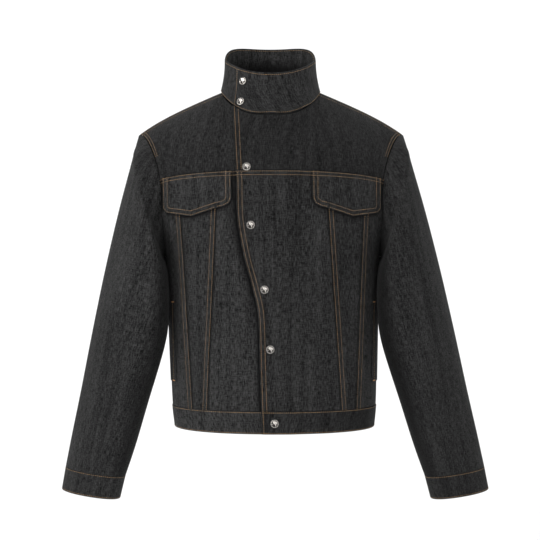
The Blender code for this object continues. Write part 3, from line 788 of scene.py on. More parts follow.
def weave_coordinates(node, grid, up, tube):
    """Metres across and along the warp at each point. A tube gives a place on its axis and its run."""
    rows, columns = grid.shape[:2]
    if tube:
        axis, warp = tube
        around = grid - axis - ((grid - axis) @ warp)[..., None] * warp
        return TUBE_RADIUS * np.unwrap(np.arctan2(around[..., 1], around[..., 0]), axis=1), grid @ warp
    steps = np.diff(grid, axis=1)
    sideways = np.linalg.norm(steps - (steps @ UPWARD)[..., None] * UPWARD, axis=-1)
    u = np.hstack((np.zeros((rows, 1)), np.cumsum(sideways, axis=1)))
    u += grid[:, columns // 2, 0, None] * (-1 if node == "back" else 1) - u[:, columns // 2, None]
    return u, np.vstack((0.0 * u[:1], np.cumsum(up, axis=0)))


def add_cloth(node, surface, first, second, wall, shade, base=0.0, roll=0.5, tube=None, inside_painted_shade=1.0):
    """One piece that stands for the solid of the same name. `inside_painted_shade` multiplies its inside's
    tone, as painted shade.
    """
    closed = tube is not None
    thin = np.ones(first.shape)
    foot, rest = roll if isinstance(roll, tuple) else (roll, roll)
    if not closed:
        thin[:, [0, -1]] = rest
    thin[0], thin[-1] = foot, rest
    inner = leaning(surface(first, second, base))
    outer = leaning(surface(first, second, base + wall * thin))
    index = np.arange(first.size).reshape(first.shape)
    whole = np.hstack((outer, outer[:, :1])) if closed else outer
    faces = shell_faces(np.hstack((index, index[:, :1])) if closed else index, closed)
    points = np.concatenate((inner.reshape(-1, 3), outer.reshape(-1, 3)))
    item = add_mesh(f"{node}_cloth", points, faces, [DENIM])
    across, up = grid_lengths(whole)
    u, v = weave_coordinates(node, whole, up, tube)
    uv = np.stack((u, v), axis=-1).reshape(-1, 2) + UV_SHIFT * len(cloth_pieces)
    uv_faces = shell_faces(np.arange(u.size).reshape(u.shape), closed)
    layer = item.data.uv_layers.new(name="UVMap")
    layer.data.foreach_set("uv", np.concatenate((uv, uv))[uv_faces].astype(np.float32).ravel())
    tone = item.data.attributes.new("shade", "FLOAT", "POINT")
    shade = np.broadcast_to(shade, first.shape).ravel()
    inside_painted_shade = np.broadcast_to(inside_painted_shade, first.shape).ravel()
    tone.data.foreach_set("value", np.concatenate((shade * inside_painted_shade, shade)).astype(np.float32))
    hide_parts(node)
    width, length, area = float(across.sum(axis=1).max()), float(up.sum(axis=0).max()), grid_area(whole)
    sheets.append((item, width, length, area))
    cloth_pieces[node] = item
    print(f"{node}: {len(faces)} faces, cut {width:.3f} x {length:.3f} m, {area:.4f} m2")
    return item


print("a rolled rim is", LAYER * 500, "mm thick")

# %% [markdown]
# ## Materials
# A finish is a tree of shader nodes. It could be wired by hand in the editor, but a formula is easier to
# read and to change. `Graph` adds any node. Its results are `Signal`s, which add, subtract and multiply
# like numbers, so that each material below reads as a sum.

# %% Sums of sockets
class Signal:
    """One output socket that can be used in sums."""

    def __init__(self, graph, socket):
        self.graph = graph
        self.socket = socket

    def math(self, operation, *values):
        return self.graph.add("ShaderNodeMath", {"operation": operation}, dict(enumerate((self, *values))))

    def __add__(self, other):
        return self.math("ADD", other)

    def __sub__(self, other):
        return self.math("SUBTRACT", other)

    def __mul__(self, other):
        return self.math("MULTIPLY", other)

    def __rsub__(self, other):
        return self.graph.add("ShaderNodeMath", {"operation": "SUBTRACT"}, {0: other, 1: self})

    def __rpow__(self, other):
        return self.graph.add("ShaderNodeMath", {"operation": "POWER"}, {0: other, 1: self})

    __radd__ = __add__
    __rmul__ = __mul__


print("a Signal adds, subtracts and multiplies, from either side")

# %% Node trees
class Graph:
    """A node tree of any kind."""

    def __init__(self, tree):
        self.tree = tree

    def add(self, kind, settings, values, output=0):
        node = self.tree.nodes.new(kind)
        for key, value in settings.items():
            setattr(node, key, value)
        for key, value in values.items():
            self.plug(node.inputs[key], value)
        return Signal(self, node.outputs[output])

    def plug(self, socket, value):
        if isinstance(value, Signal):
            self.tree.links.new(value.socket, socket)
        else:
            socket.default_value = value


print("a Graph fills in any node tree")

# %% Materials with one Principled shader
class Surface(Graph):
    """The node tree of one material with a Principled shader."""

    def __init__(self, name, colour, **constants):
        self.material = bpy.data.materials.new(name)
        self.material.use_nodes = True
        self.material.diffuse_color = (*colour, 1.0)
        super().__init__(self.material.node_tree)
        self.shader = self.tree.nodes["Principled BSDF"]
        self.shader.inputs["Base Color"].default_value = (*colour, 1.0)
        for key, value in constants.items():
            self.shader.inputs[key.replace("_", " ")].default_value = value

    def noise(self, where, stretch, detail=2.0, roughness=0.5):
        """Noise from -0.5 to 0.5, its features one over `stretch` metres in size."""
        scaled = self.add("ShaderNodeVectorMath", {"operation": "MULTIPLY"}, {0: where, 1: stretch})
        values = {"Vector": scaled, "Scale": 1.0, "Detail": detail, "Roughness": roughness}
        return self.add("ShaderNodeTexNoise", {}, values, "Fac") - 0.5

    def blend(self, share, first, second):
        values = {0: share, 6: first, 7: second}
        return self.add("ShaderNodeMix", {"data_type": "RGBA"}, values, 2)

    def tint(self, colour, amount):
        """A colour made darker or lighter by a signal."""
        scaled = {0: (*colour,), 3: amount}
        return self.add("ShaderNodeVectorMath", {"operation": "SCALE"}, scaled)

    def bump(self, height, distance, strength=1.0):
        values = {"Height": height, "Distance": distance, "Strength": strength}
        self.plug(self.shader.inputs["Normal"], self.add("ShaderNodeBump", {}, values))

    def paint(self, **signals):
        for key, value in signals.items():
            self.plug(self.shader.inputs[key.replace("_", " ")], value)
        return self.material


print("a Surface starts from one shader and plain values")

# %% [markdown]
# Raw denim is nearly black warp over grey weft. Slubs are long thin lighter or darker streaks along the
# warp, and fainter ones cross them along the weft. A fine diagonal twill, broad bands, soft clouds of wear
# and a faint fuzz finish it. A painted image would repeat, and blur close up; noise stretched along the
# threads does neither. Each number in the sum is how strongly one of them changes the tone.

# %% Denim
DENIM_COLOUR = (0.0189, 0.0189, 0.0189)
TWILL_PITCH = 0.00085


def make_denim():
    graph = Surface("denim", DENIM_COLOUR, Sheen_Weight=0.04, Sheen_Roughness=0.5, Specular_IOR_Level=0.10)
    graph.shader.inputs["Sheen Tint"].default_value = (0.8, 0.8, 0.8, 1.0)
    where = graph.add("ShaderNodeUVMap", {"uv_map": "UVMap"}, {})
    parts = graph.add("ShaderNodeSeparateXYZ", {}, {0: where})
    u, v = parts, Signal(graph, parts.socket.node.outputs[1])
    # The shade attribute scales the colour: each piece's tone with its painted shade and painted side light.
    shade = graph.add("ShaderNodeAttribute", {"attribute_name": "shade"}, {}, "Fac")
    slub = graph.noise(where, (340.0, 30.0, 1.0), 1.0, 0.5)
    warp = graph.noise(where, (720.0, 110.0, 1.0), 1.0, 0.5)
    weft = graph.noise(where, (100.0, 680.0, 1.0), 1.0, 0.5)
    grain = graph.noise(where, (950.0, 850.0, 1.0), 2.0, 0.6)
    band = graph.noise(where, (75.0, 4.5, 1.0), 1.0, 0.5)
    cloud = graph.noise(where, (17.0, 9.0, 1.0), 2.0, 0.5)
    twill = ((u + v * 0.9) * (2 * math.pi / TWILL_PITCH)).math("SINE")
    fine = warp * 7.0 + weft * 4.2 + grain * 6.5 + twill * 0.16
    amount = ((fine + slub * 2.6 + band * 2.6 + cloud * 1.2) * 0.57 + 1.0).math("MAXIMUM", 0.04)
    graph.bump(twill * 0.35 + warp + weft + grain, 0.00025, 0.7)
    return graph.paint(Base_Color=graph.tint(DENIM_COLOUR, amount * shade), Roughness=0.86 + grain * 0.3)


DENIM = make_denim()
print(DENIM.name, "has", len(DENIM.node_tree.nodes), "nodes")

# %% [markdown]
# Topstitching thread is thick and tan, and its tone wanders from stitch to stitch. One flat colour would
# look printed, so noise finer than a stitch works with noise as long as one.

# %% Thread
def make_thread(name, colour, spread_of_tone):
    graph = Surface(name, colour, Roughness=0.55, Specular_IOR_Level=0.4, Sheen_Weight=0.2)
    where = graph.add("ShaderNodeTexCoord", {}, {}, "Object")
    tone = graph.noise(where, (240.0, 240.0, 240.0), 2.0)
    strand = graph.noise(where, (2600.0, 2600.0, 2600.0), 1.0)
    graph.bump(strand, 0.0001, 0.5)
    return graph.paint(Base_Color=graph.tint(colour, 2.0 ** (tone * spread_of_tone + strand * 0.8)))


THREAD = make_thread("thread", (0.27, 0.158, 0.060), 3.4)
BARTACK_THREAD = make_thread("bartack_thread", (0.50, 0.235, 0.075), 1.2)
print(THREAD.name, "and", BARTACK_THREAD.name)

# %% [markdown]
# The snaps are aged silver, with painted shade nearly black where their relief is deep and round the rim.
# A mask could be drawn by hand, but the relief is a formula, so the same formula sets the painted shade.

# %% Snap metal
def make_snap_metal():
    """Silver, with painted shade where its relief is deep and round its rim."""
    graph = Surface("snap_metal", (0.62, 0.61, 0.59), Metallic=1.0)
    where = graph.add("ShaderNodeTexCoord", {}, {}, "Object")
    depth = graph.add("ShaderNodeAttribute", {"attribute_name": "relief"}, {}, "Fac")
    wear = graph.noise(where, (900.0, 900.0, 900.0), 3.0)
    # Painted shade: the mix runs from near-black in the hollows and round the rim to silver, with a little
    # wear.
    painted_shade_and_wear_mix = (depth + wear * 0.5).math("MULTIPLY_ADD", 1.6, -0.15).math("MINIMUM", 1.0).math("MAXIMUM", 0.0)
    colour = graph.blend(painted_shade_and_wear_mix, (0.010, 0.009, 0.008, 1.0), (0.80, 0.76, 0.71, 1.0))
    graph.bump(wear, 0.0002, 0.4)
    return graph.paint(Base_Color=colour, Roughness=0.42 - painted_shade_and_wear_mix * 0.16)


SNAP_METAL = make_snap_metal()
print(SNAP_METAL.name, "has", len(SNAP_METAL.node_tree.nodes), "nodes")

# %% [markdown]
# ## The panels
# Fronts first: each has a centre, a middle and a side panel below a yoke. A grid is laid between two seam
# lines and pressed onto the surface. Cutting a whole front with Booleans would leave ragged rims, and the
# rows of these grids follow the seams instead. Each piece has its own tone, and the pieces on the wearer's
# right are painted lighter than their twins on the left, as painted light from the side of the key lamp.

# %% Tones of the pieces, with painted side light
# Right and left differ as painted side light: the wearer's right faces the key lamp and is painted lighter.
TONES_AND_PAINTED_SIDE_LIGHT = {
    "front": {"right": 1.06, "left": 0.92},
    "yoke": {"right": 0.69, "left": 0.59},
    "flap": {"right": 1.12, "left": 0.90},
    "sleeve": {"right": 0.96, "left": 0.82},
    "cuff": {"right": 0.97, "left": 0.68},
}
PART_TONES = {"centre_front": 1.03, "middle_front": 0.97, "side_front": 1.15}
WELT_TONE, BACK_TONE, COLLAR_TONE = 0.85, 0.97, 0.98
# Painted side shade darkens the waistband towards the wearer's left, away from the key lamp.
WAISTBAND_TONE, WAISTBAND_PAINTED_SIDE_SHADE = 0.89, 0.50  # at its middle, and how much it darkens to one side
print(len(TONES_AND_PAINTED_SIDE_LIGHT) + len(PART_TONES), "tones")

# %% The outline of a flap
FlapCorner = namedtuple("FlapCorner", "from_centre level")
FLAP_OUTLINE = (
    FlapCorner(0.0705, -0.0400),
    FlapCorner(0.0740, -0.0490),
    FlapCorner(0.0835, -0.0545),
    FlapCorner(0.0945, -0.0569),
    FlapCorner(0.1180, -0.0641),
    FlapCorner(0.1400, -0.0710),
    FlapCorner(0.1640, -0.0672),
    FlapCorner(0.1780, -0.0652),
    FlapCorner(0.1855, -0.0635),
    FlapCorner(0.1915, -0.0560),
)
FLAP_START, FLAP_END = FLAP_OUTLINE[0].from_centre, FLAP_OUTLINE[-1].from_centre


def flap_outline(across):
    """The level of the flap's lower outline."""
    return np.interp(across, [c.from_centre for c in FLAP_OUTLINE], [c.level for c in FLAP_OUTLINE])


print("a flap is", round(FLAP_END - FLAP_START, 3), "m wide")

# %% [markdown]
# Cloth is darker where light can't reach: in a seam, under a flap, beside the edge that laps over, and on
# the ridge of the edge hidden under it. The lamps make some of this, but a seam is a fraction of a
# millimetre deep, so the rest is painted shade, kept on the cloth's points. Each shade has how much light it
# takes and how far it spreads.

# %% Shade in the seams and under the laps
Shade = namedtuple("Shade", "depth width")
UNDER_FLAP = Shade(0.92, 0.0055)
BESIDE_FLAP = {RIGHT: Shade(0.85, 0.0050), LEFT: Shade(0.40, 0.0050)}
BESIDE_LAP, AT_LAP = Shade(0.72, 0.0100), Shade(0.95, 0.0042)
OVER_HIDDEN_EDGE = Shade(0.30, 0.0018)
IN_SEAM = Shade(0.80, 0.0026)
Place = namedtuple("Place", "height x")
HIDDEN_EDGE = (Place(-0.59, 0.027), Place(-0.33, 0.031), Place(-0.23, 0.047), Place(-0.06, 0.060))


def light_left(shade, away, amount=1.0):
    return 1.0 - shade.depth * amount * np.exp(-((away / shade.width) ** 2))


def shadow(hand, share, level):
    """How much light is left on a front, place by place."""
    place = body_point(FRONT, share, level)
    x = place[..., 0]
    aside = np.abs(x)
    covered = smooth((aside - FLAP_START + 0.004) / 0.006)
    tone = light_left(UNDER_FLAP, np.maximum(0.0, flap_outline(aside) - level), covered)
    by_flap = smooth((level + 0.05) / 0.012) * (level < 0.0)
    tone = tone * light_left(BESIDE_FLAP[hand], FLAP_START - aside, by_flap)
    if hand == RIGHT:
        beside = np.maximum(0.0, front_edge(LEFT, level) - x)
        fade = 0.4 + 0.6 * smooth((-0.01 - level) / 0.04) * smooth((level + 0.25) / 0.12)
        tone = tone * light_left(BESIDE_LAP, beside, fade) * light_left(AT_LAP, beside)
    else:
        # Painted shade along the ridge of the right front's edge, hidden under the left front.
        hidden = np.interp(place[..., 2], [p.height for p in HIDDEN_EDGE], [p.x for p in HIDDEN_EDGE])
        tone = tone * light_left(OVER_HIDDEN_EDGE, x - hidden)
    for seam in (inner_seam, outer_seam):
        past = seam(level) - aside
        tone = tone * light_left(IN_SEAM, past, past > 0)
    return tone


print("light left on an open stretch", round(float(shadow(RIGHT, np.array(-0.4), np.array(-0.2))), 2))

# %% The fronts
PANEL_FOOT = -0.4117
SIDE_SEAM_SHARE = 0.999  # where the side panel ends, just short of the back
COLUMN_SPACING = 0.0022  # closer than the rows, for the seams' steps and shade
HALF_GAP = SEAM_GAP / 2


def panel_grid(left, right, width, top=yoke_level, foot=PANEL_FOOT):
    """Shares and levels of a panel between two upright seams and two heights."""
    rows, columns = np.meshgrid(edged(abs(foot)), edged(width, COLUMN_SPACING), indexing="ij")
    share = 0.0 * rows
    for _ in range(4):
        level = mix(foot, top(share) - HALF_GAP, rows)
        share = mix(left(level), right(level), columns)
    return share, level


def seam_share(hand, place, gap):
    return lambda level: share_at(hand * (place(level) + gap), level)


for hand, word in HANDS:
    edge = lambda level: share_at(front_edge(hand, level), level)
    side = lambda level: hand * SIDE_SEAM_SHARE + 0.0 * level
    beside_inner, past_inner = (seam_share(hand, inner_seam, gap) for gap in (-HALF_GAP, HALF_GAP))
    beside_outer, past_outer = (seam_share(hand, outer_seam, gap) for gap in (-HALF_GAP, HALF_GAP))
    pieces = (
        ("centre_front", edge, beside_inner, 0.16),
        ("middle_front", past_inner, beside_outer, 0.06),
        ("side_front", past_outer, side, 0.10),
    )
    for part, inner, outer, width in pieces:
        left, right = (inner, outer) if hand == LEFT else (outer, inner)
        share, level = panel_grid(left, right, width)
        # The piece's tone, with its painted side light and its painted shade.
        shade = TONES_AND_PAINTED_SIDE_LIGHT["front"][word] * PART_TONES[part] * shadow(hand, share, level)
        add_cloth(f"{word}_{part}", front_surface(hand), share, level, LAYER, shade)


# %% [markdown]
# A yoke is the piece across the chest, up to the shoulder seam and the neck. Its columns follow the
# slanting front edge at first and stand upright further out, and one of them stands just where the neck
# meets the shoulder, so that the corner is sharp. The back has such a column too.

# %% The yokes
YOKE_LENGTH = 0.13
EDGE_LEVEL = 0.06  # where a yoke's columns start from the front edge
SLANTING = 0.12  # share over which the columns turn upright


def shoulder_columns(start):
    """Shares from `start` round the neck and out to the armhole, with lines close to both ends."""
    turn = math.asin(start / NECK_SHARE)
    round_neck = NECK_SHARE * np.sin(np.linspace(turn, math.pi / 2, round((math.pi / 2 - turn) / 0.045)))
    near = np.array((ROLL, 2.6 * ROLL)) / 0.2
    across = NECK_SHARE + (1.0 - NECK_SHARE) * np.linspace(0.0, 1.0, 37)[1:]
    outer = (across[:-1], 1.0 - near[::-1], across[-1:])
    return np.concatenate((round_neck[:1], start + near, round_neck[1:], *outer))


def yoke_grid(hand):
    """Columns that follow the slanting front edge at first and stand upright further out."""
    start = float(hand * share_at(front_edge(hand, EDGE_LEVEL), EDGE_LEVEL))
    shares = hand * shoulder_columns(start)
    shares = shares if hand == LEFT else shares[::-1]
    rows, share = np.meshgrid(edged(YOKE_LENGTH), shares, indexing="ij")
    upright = share
    for _ in range(4):
        level = mix(yoke_level(share) + HALF_GAP, neck_level(FRONT, share[0])[None, :], rows)
        slant = share_at(front_edge(hand, level), level) - hand * start
        share = upright + slant * (1.0 - smooth((hand * upright - start) / SLANTING))
    top = np.stack([neck_level(FRONT, row) for row in share])
    return share, mix(yoke_level(share) + HALF_GAP, top, rows)


for hand, word in HANDS:
    share, level = yoke_grid(hand)
    add_cloth(f"{word}_front_yoke", front_surface(hand), share, level, LAYER, TONES_AND_PAINTED_SIDE_LIGHT["yoke"][word])


# %% The back
side = shoulder_columns(0.0)
shares = np.concatenate((-side[:0:-1], side))
lower, share = np.meshgrid(edged(0.41) * -PANEL_FOOT + PANEL_FOOT, shares, indexing="ij")
rows = np.concatenate((np.linspace(0.0, 1.0, 34)[1:-1], 1.0 - np.array((2.6, 1.0, 0.0)) * ROLL / YOKE_LENGTH))
upper = neck_level(BACK, -shares)[None, :] * rows[:, None]
level = np.concatenate((lower, upper))
share = np.broadcast_to(shares, level.shape)
add_cloth("back", back_surface, share, level, LAYER, BACK_TONE)

# %% [markdown]
# Welts and flaps lie on the panels, so they are the same surfaces raised by the layers below them. They
# could be flat pieces wrapped on with a modifier, but these two stay parallel to the cloth at every fold. A
# flap's lower outline comes from its table, and it is moved inwards by a distance to place its stitching.

# %% Welts and flaps
WELT_FOOT = -0.367
WELT_TOP = -0.222
WELT_START = 0.4  # share of the side panel's width
FLAP_SPACING = 0.0030
ON_PANEL = LAYER + SEAM_GAP  # how far out the back of a welt, and of a flap, lies
ON_FLAP = LAYER + LAP_GAP


def flap_top(x):
    return yoke_level(share_at(x, 0.0 * x)) - 2 * SEAM_GAP


def flap_foot(x, inset=0.0):
    """The level of the flap's lower outline, moved inwards by a distance."""
    shifts = inset * np.sin(np.linspace(-math.pi / 2, math.pi / 2, 61))[:, None]
    outline = flap_outline(x + shifts)
    outside = (x + shifts <= FLAP_START) | (x + shifts >= FLAP_END)
    outline = np.where(outside & (inset > 0), flap_top(x), outline)
    return (outline + np.sqrt(inset * inset - shifts * shifts)).max(axis=0)


for hand, word in HANDS:
    side = lambda level: hand * SIDE_SEAM_SHARE + 0.0 * level
    start = lambda level: mix(share_at(hand * (outer_seam(level) + HALF_GAP), level), hand, WELT_START)
    left, right = (start, side) if hand == LEFT else (side, start)
    share, level = panel_grid(left, right, 0.06, lambda share: WELT_TOP + 0.0 * share, WELT_FOOT)
    add_cloth(f"{word}_pocket_welt", front_surface(hand), share, level, WELT_WALL, WELT_TONE, ON_PANEL)

    x = mix(FLAP_START, FLAP_END, edged(FLAP_END - FLAP_START, FLAP_SPACING))[::hand]
    rows, x = np.meshgrid(edged(0.07), x, indexing="ij")
    level = mix(flap_foot(x[0])[None, :], flap_top(x), rows)
    share = share_at(hand * x, level)
    tone = TONES_AND_PAINTED_SIDE_LIGHT["flap"][word]
    add_cloth(f"{word}_pocket_flap", front_surface(hand), share, level, FLAP_WALL, tone, ON_FLAP, roll=0.7)


# %% [markdown]
# The collar and the waistband are doubled bands whose ends lap over themselves at the front, so each is one
# long strip that goes a little more than once round. Inside, the collar has painted shade, darkest towards
# its base and a little streaked.

# %% The collar
COLLAR_OVER_END = -45.5  # degrees round the neck from centre front, towards the wearer's left
COLLAR_UNDER_END = 398.0
BAND_SPACING = 0.0036

around_collar = mix(COLLAR_OVER_END, COLLAR_UNDER_END, edged(0.65))
share, degrees = np.meshgrid(edged(COLLAR_HEIGHT, BAND_SPACING), around_collar, indexing="ij")
around = np.radians(degrees)
# Painted shade inside the collar: darkest towards its base, in soft streaks.
streaks = 1.0 + 0.18 * np.sin(19 * around) + 0.13 * np.sin(31 * around)
inside_painted_shade = mix(0.12, 1.12, smooth((share - 0.44) / 0.40)) * streaks
add_cloth("collar", collar_surface, degrees, share, BAND, COLLAR_TONE, roll=(0.25, 0.75), inside_painted_shade=inside_painted_shade)

# %% The waistband
WAISTBAND_SNAP_HEIGHT = -0.592

ring = along_rows(BODY_RINGS, np.array(WAISTBAND_SNAP_HEIGHT))
lap_share = -FRONT_EDGES[0].over / float(ring.half_width)
LAP = math.degrees(math.asin(lap_share ** (float(ring.squareness) / 2)))
up_band = mix(HEM_HEIGHT, WAISTBAND_TOP, edged(0.039, BAND_SPACING))
height, degrees = np.meshgrid(up_band, mix(-LAP, 360.0 + LAP, edged(1.1)), indexing="ij")
# Painted side shade: darker towards the wearer's left.
tone = WAISTBAND_TONE - WAISTBAND_PAINTED_SIDE_SHADE * np.sin(np.radians(degrees))
add_cloth("waistband", waistband_surface, degrees, height, BAND, tone, roll=0.75)

# %% [markdown]
# Sleeves and cuffs are tubes. A real sleeve is one flat piece sewn under the arm, where the seam never
# shows, so here the tube closes without one. It is darker towards the body, where light can't come in.

# %% The sleeves and cuffs
AROUND_ARM = 100  # points round a sleeve
INSIDE_SHADE = 0.66  # how much darker a sleeve is on its inner side
ARM_X, ARM_Y, ARM_Z = 0.235, -0.036, -0.284  # a place on the sleeve's axis
ARM_RUN_X, ARM_RUN_Z = 0.22, -0.97

for hand, word in HANDS:
    turns = np.linspace(-math.pi, math.pi, AROUND_ARM, endpoint=False)
    tube = (np.array((hand * ARM_X, ARM_Y, ARM_Z)), unit(np.array((hand * ARM_RUN_X, 0.0, ARM_RUN_Z))))
    share, turn = np.meshgrid(0.998 * edged(0.64), turns, indexing="ij")
    # Painted side light for each hand, and painted shade on the inner side towards the body.
    tone = TONES_AND_PAINTED_SIDE_LIGHT["sleeve"][word] - INSIDE_SHADE * smooth((-0.40 - np.cos(turn)) / 0.55)
    surface = arm_surface(sleeve_form, hand, SLEEVE_FOLDS)
    add_cloth(f"{word}_sleeve", surface, turn, share, LAYER, tone, tube=tube)
    share, turn = np.meshgrid(edged(0.041, BAND_SPACING), turns, indexing="ij")
    tone = TONES_AND_PAINTED_SIDE_LIGHT["cuff"][word]
    add_cloth(f"{word}_cuff", arm_surface(cuff_form, hand), turn, share, BAND, tone, roll=0.75, tube=tube)
print(len(cloth_pieces), "pieces of cloth")

# %% [markdown]
# ## Stitching
# A topstitched seam shows as a row of short raised beads. It could be a bump in the denim, but thread
# stands proud of the cloth and catches light from the side, so it is made. First each line becomes a chain
# of points, each with the direction that faces out of the cloth.

# %% Chains of points
PITCH = 0.0037  # of the stitches
ABOVE = 0.001  # how far out a second point shows which way the cloth faces
threads = defaultdict(list)


def facing_out(surface, first, second, distance, out=ABOVE):
    """Points at a distance from a surface, and the way it faces there."""
    low = leaning(surface(first, second, distance))
    high = leaning(surface(first, second, distance + out))
    return low, unit(high - low)


def stitch_line(node, surface, first, second, distance, out=ABOVE):
    """A line of stitches along the outside of a piece, or along its inside where `out` is below 0."""
    threads[node].append(facing_out(surface, *np.broadcast_arrays(first, second), distance, out))


def step_in(surface, first, second, axis, distance):
    """Follow `second` (or `first`) until it has gone a distance over the surface from its start."""
    path = surface(first, second)
    gone = np.cumsum(np.linalg.norm(np.diff(path, axis=0), axis=-1), axis=0)
    gone = np.concatenate((np.zeros((1, gone.shape[1])), gone))
    moving = (first, second)[axis]
    distance = np.broadcast_to(distance, gone.shape[1])
    return np.array([np.interp(d, gone[:, i], moving[:, i]) for i, d in enumerate(distance)])


def run(start, end, spacing=0.004):
    return np.linspace(start, end, max(2, round(abs(end - start) / spacing)))


print("stitches every", PITCH * 1000, "mm")

# %% [markdown]
# Seams of the fronts are stitched twice, one foot width apart: below the yoke, beside both upright seams,
# down the overlapping edge, and round each flap. Each pair is one line drawn at two distances from its
# seam.

# %% Lines across and down the fronts
YOKE_NEAR, YOKE_FAR = 0.0014, 0.0068  # the two lines from their seam
NEAR, FAR = 0.0012, 0.0076
EDGE_NEAR, EDGE_FAR = 0.0032, 0.0098
CORNER = 0.001  # what a line keeps clear of, at an edge
WAIST = PANEL_FOOT + CORNER
SEAM_HEAD = -0.012  # where the upright lines end, below the yoke's own
ARMHOLE_END = 0.2215  # where the yoke's own lines end


def across_front(hand, start, end, below, distance=LAYER):
    """A line along the yoke seam, below it, between two places."""
    x = run(start + CORNER, end)
    level = yoke_level(share_at(hand * x, 0.0 * x)) - HALF_GAP - below
    return front_surface(hand), share_at(hand * x, level), level, distance


def upright(hand, place, foot, head, distance=LAYER):
    """A line beside an upright seam or edge."""
    level = run(foot, head)
    return front_surface(hand), share_at(place(level), level), level, distance


for hand, word in HANDS:
    edge = float(front_edge(hand, np.array(0.0))) * hand
    for offset in (YOKE_NEAR, YOKE_FAR):
        stitch_line(f"{word}_centre_front", *across_front(hand, edge, FLAP_START - CORNER, offset))
        on_flap = across_front(hand, FLAP_START, FLAP_END - CORNER, offset + SEAM_GAP, ON_FLAP + FLAP_WALL)
        stitch_line(f"{word}_pocket_flap", *on_flap)
        stitch_line(f"{word}_side_front", *across_front(hand, FLAP_END, ARMHOLE_END, offset))
    for offset in (NEAR, FAR):
        beside = lambda level: hand * (inner_seam(level) + offset)
        stitch_line(f"{word}_middle_front", *upright(hand, beside, WAIST, SEAM_HEAD))
        beside = lambda level: hand * (outer_seam(level) + offset)
        stitch_line(f"{word}_side_front", *upright(hand, beside, WAIST, SEAM_HEAD))
print(sum(len(lines) for lines in threads.values()), "lines so far")

# %% Lines round the flaps and down the front edge
FLAP_NEAR, FLAP_FAR = 0.0021, 0.0090

for hand, word in HANDS:
    for inset in (FLAP_NEAR, FLAP_FAR):
        x = mix(FLAP_START + inset, FLAP_END - inset, (1.0 - np.cos(np.linspace(0.0, math.pi, 90))) / 2)
        level = np.minimum(flap_foot(x, inset), flap_top(x) - 0.0004)
        place = (front_surface(hand), share_at(hand * x, level), level, ON_FLAP + FLAP_WALL)
        stitch_line(f"{word}_pocket_flap", *place)
for offset in (EDGE_NEAR, EDGE_FAR):
    beside = lambda level: front_edge(LEFT, level) + offset
    stitch_line("left_centre_front", *upright(LEFT, beside, WAIST, 0.003))
    top = 0.08
    for _ in range(4):
        top = float(neck_level(FRONT, share_at(beside(np.array(top)), np.array(top))))
    stitch_line("left_front_yoke", *upright(LEFT, beside, 0.009, top - CORNER))
print(sum(len(lines) for lines in threads.values()), "lines so far")

# %% [markdown]
# Two lines follow the shoulder on each yoke and spread from it towards the neck, and two follow the
# armhole. The back carries its own pair along both armholes. Here a distance has to be walked over the
# cloth, because the surface turns away.

# %% Lines along the shoulders and armholes
NECK_END, SHOULDER_END = NECK_HALF_WIDTH + 0.002, SHOULDER_HALF_WIDTH - CORNER
Drop = namedtuple("Drop", "at_neck at_arm")
SHOULDER_DROPS = (Drop(0.010, 0.004), Drop(0.026, 0.012))
ARMHOLE_NEAR, ARMHOLE_FAR = 0.0022, 0.0072

for hand, word in HANDS:
    for drop in SHOULDER_DROPS:
        x = run(NECK_END, SHOULDER_END)
        share = np.broadcast_to(share_at(hand * x, UPPER_LENGTH + 0.0 * x), (40, len(x)))
        level = np.broadcast_to(np.linspace(UPPER_LENGTH, UPPER_LENGTH - 0.04, 40)[:, None], share.shape)
        below = mix(*drop, (x - x[0]) / (x[-1] - x[0]))
        level = step_in(front_surface(hand), share, level, 1, below)
        stitch_line(f"{word}_front_yoke", front_surface(hand), share[0], level, LAYER)
    for inset in (ARMHOLE_NEAR, ARMHOLE_FAR):
        for node, surface, foot, head, sign in (
            (f"{word}_front_yoke", front_surface(hand), 0.040, 0.113, hand),
            ("back", back_surface, ARMPIT_HEIGHT - YOKE_HEIGHT + 0.012, 0.116, -hand),
        ):
            level = np.broadcast_to(run(foot, head), (60, len(run(foot, head))))
            share = np.broadcast_to(sign * np.linspace(1.0, 0.8, 60)[:, None], level.shape)
            stitch_line(node, surface, step_in(surface, share, level, 0, inset), level[0], LAYER)
print(sum(len(lines) for lines in threads.values()), "lines so far")

# %% [markdown]
# Bands are stitched once near each edge, and cuffs the same. The top line of the collar shows on both
# faces, because one seam goes through both layers. A welt has one line down its outer edge.

# %% Lines round the bands
COLLAR_LINES, COLLAR_INSIDE_LINE = (0.952, 0.022), 0.958
WAISTBAND_LINES = (0.0016, 0.0021)  # from its top and from the hem

degrees = run(COLLAR_OVER_END + 2.0, COLLAR_UNDER_END - 2.0, 2.4)
for share in COLLAR_LINES:
    stitch_line("collar", collar_surface, degrees, share + 0.0 * degrees, BAND)
stitch_line("collar", collar_surface, run(60.0, 300.0, 2.4), np.array(COLLAR_INSIDE_LINE), 0.0, -ABOVE)
end = run(0.03, 0.945, 0.05)
stitch_line("collar", collar_surface, COLLAR_OVER_END + 1.9 + 0.0 * end, end, BAND)
for height in (WAISTBAND_TOP - WAISTBAND_LINES[0], HEM_HEIGHT + WAISTBAND_LINES[1]):
    around = run(-LAP + 0.8, 360.0 + LAP - 0.8, 1.2)
    stitch_line("waistband", waistband_surface, around, height + 0.0 * around, BAND)
end = run(HEM_HEIGHT + 0.003, WAISTBAND_TOP - 0.0022)
stitch_line("waistband", waistband_surface, 0.85 - LAP + 0.0 * end, end, BAND)
print(sum(len(lines) for lines in threads.values()), "lines so far")

# %% Lines round the cuffs and down the welts
CUFF_LINES = (0.036, 0.940)
WELT_LINE = 0.1785
WELT_LINE_FOOT, WELT_LINE_HEAD = -0.364, -0.224

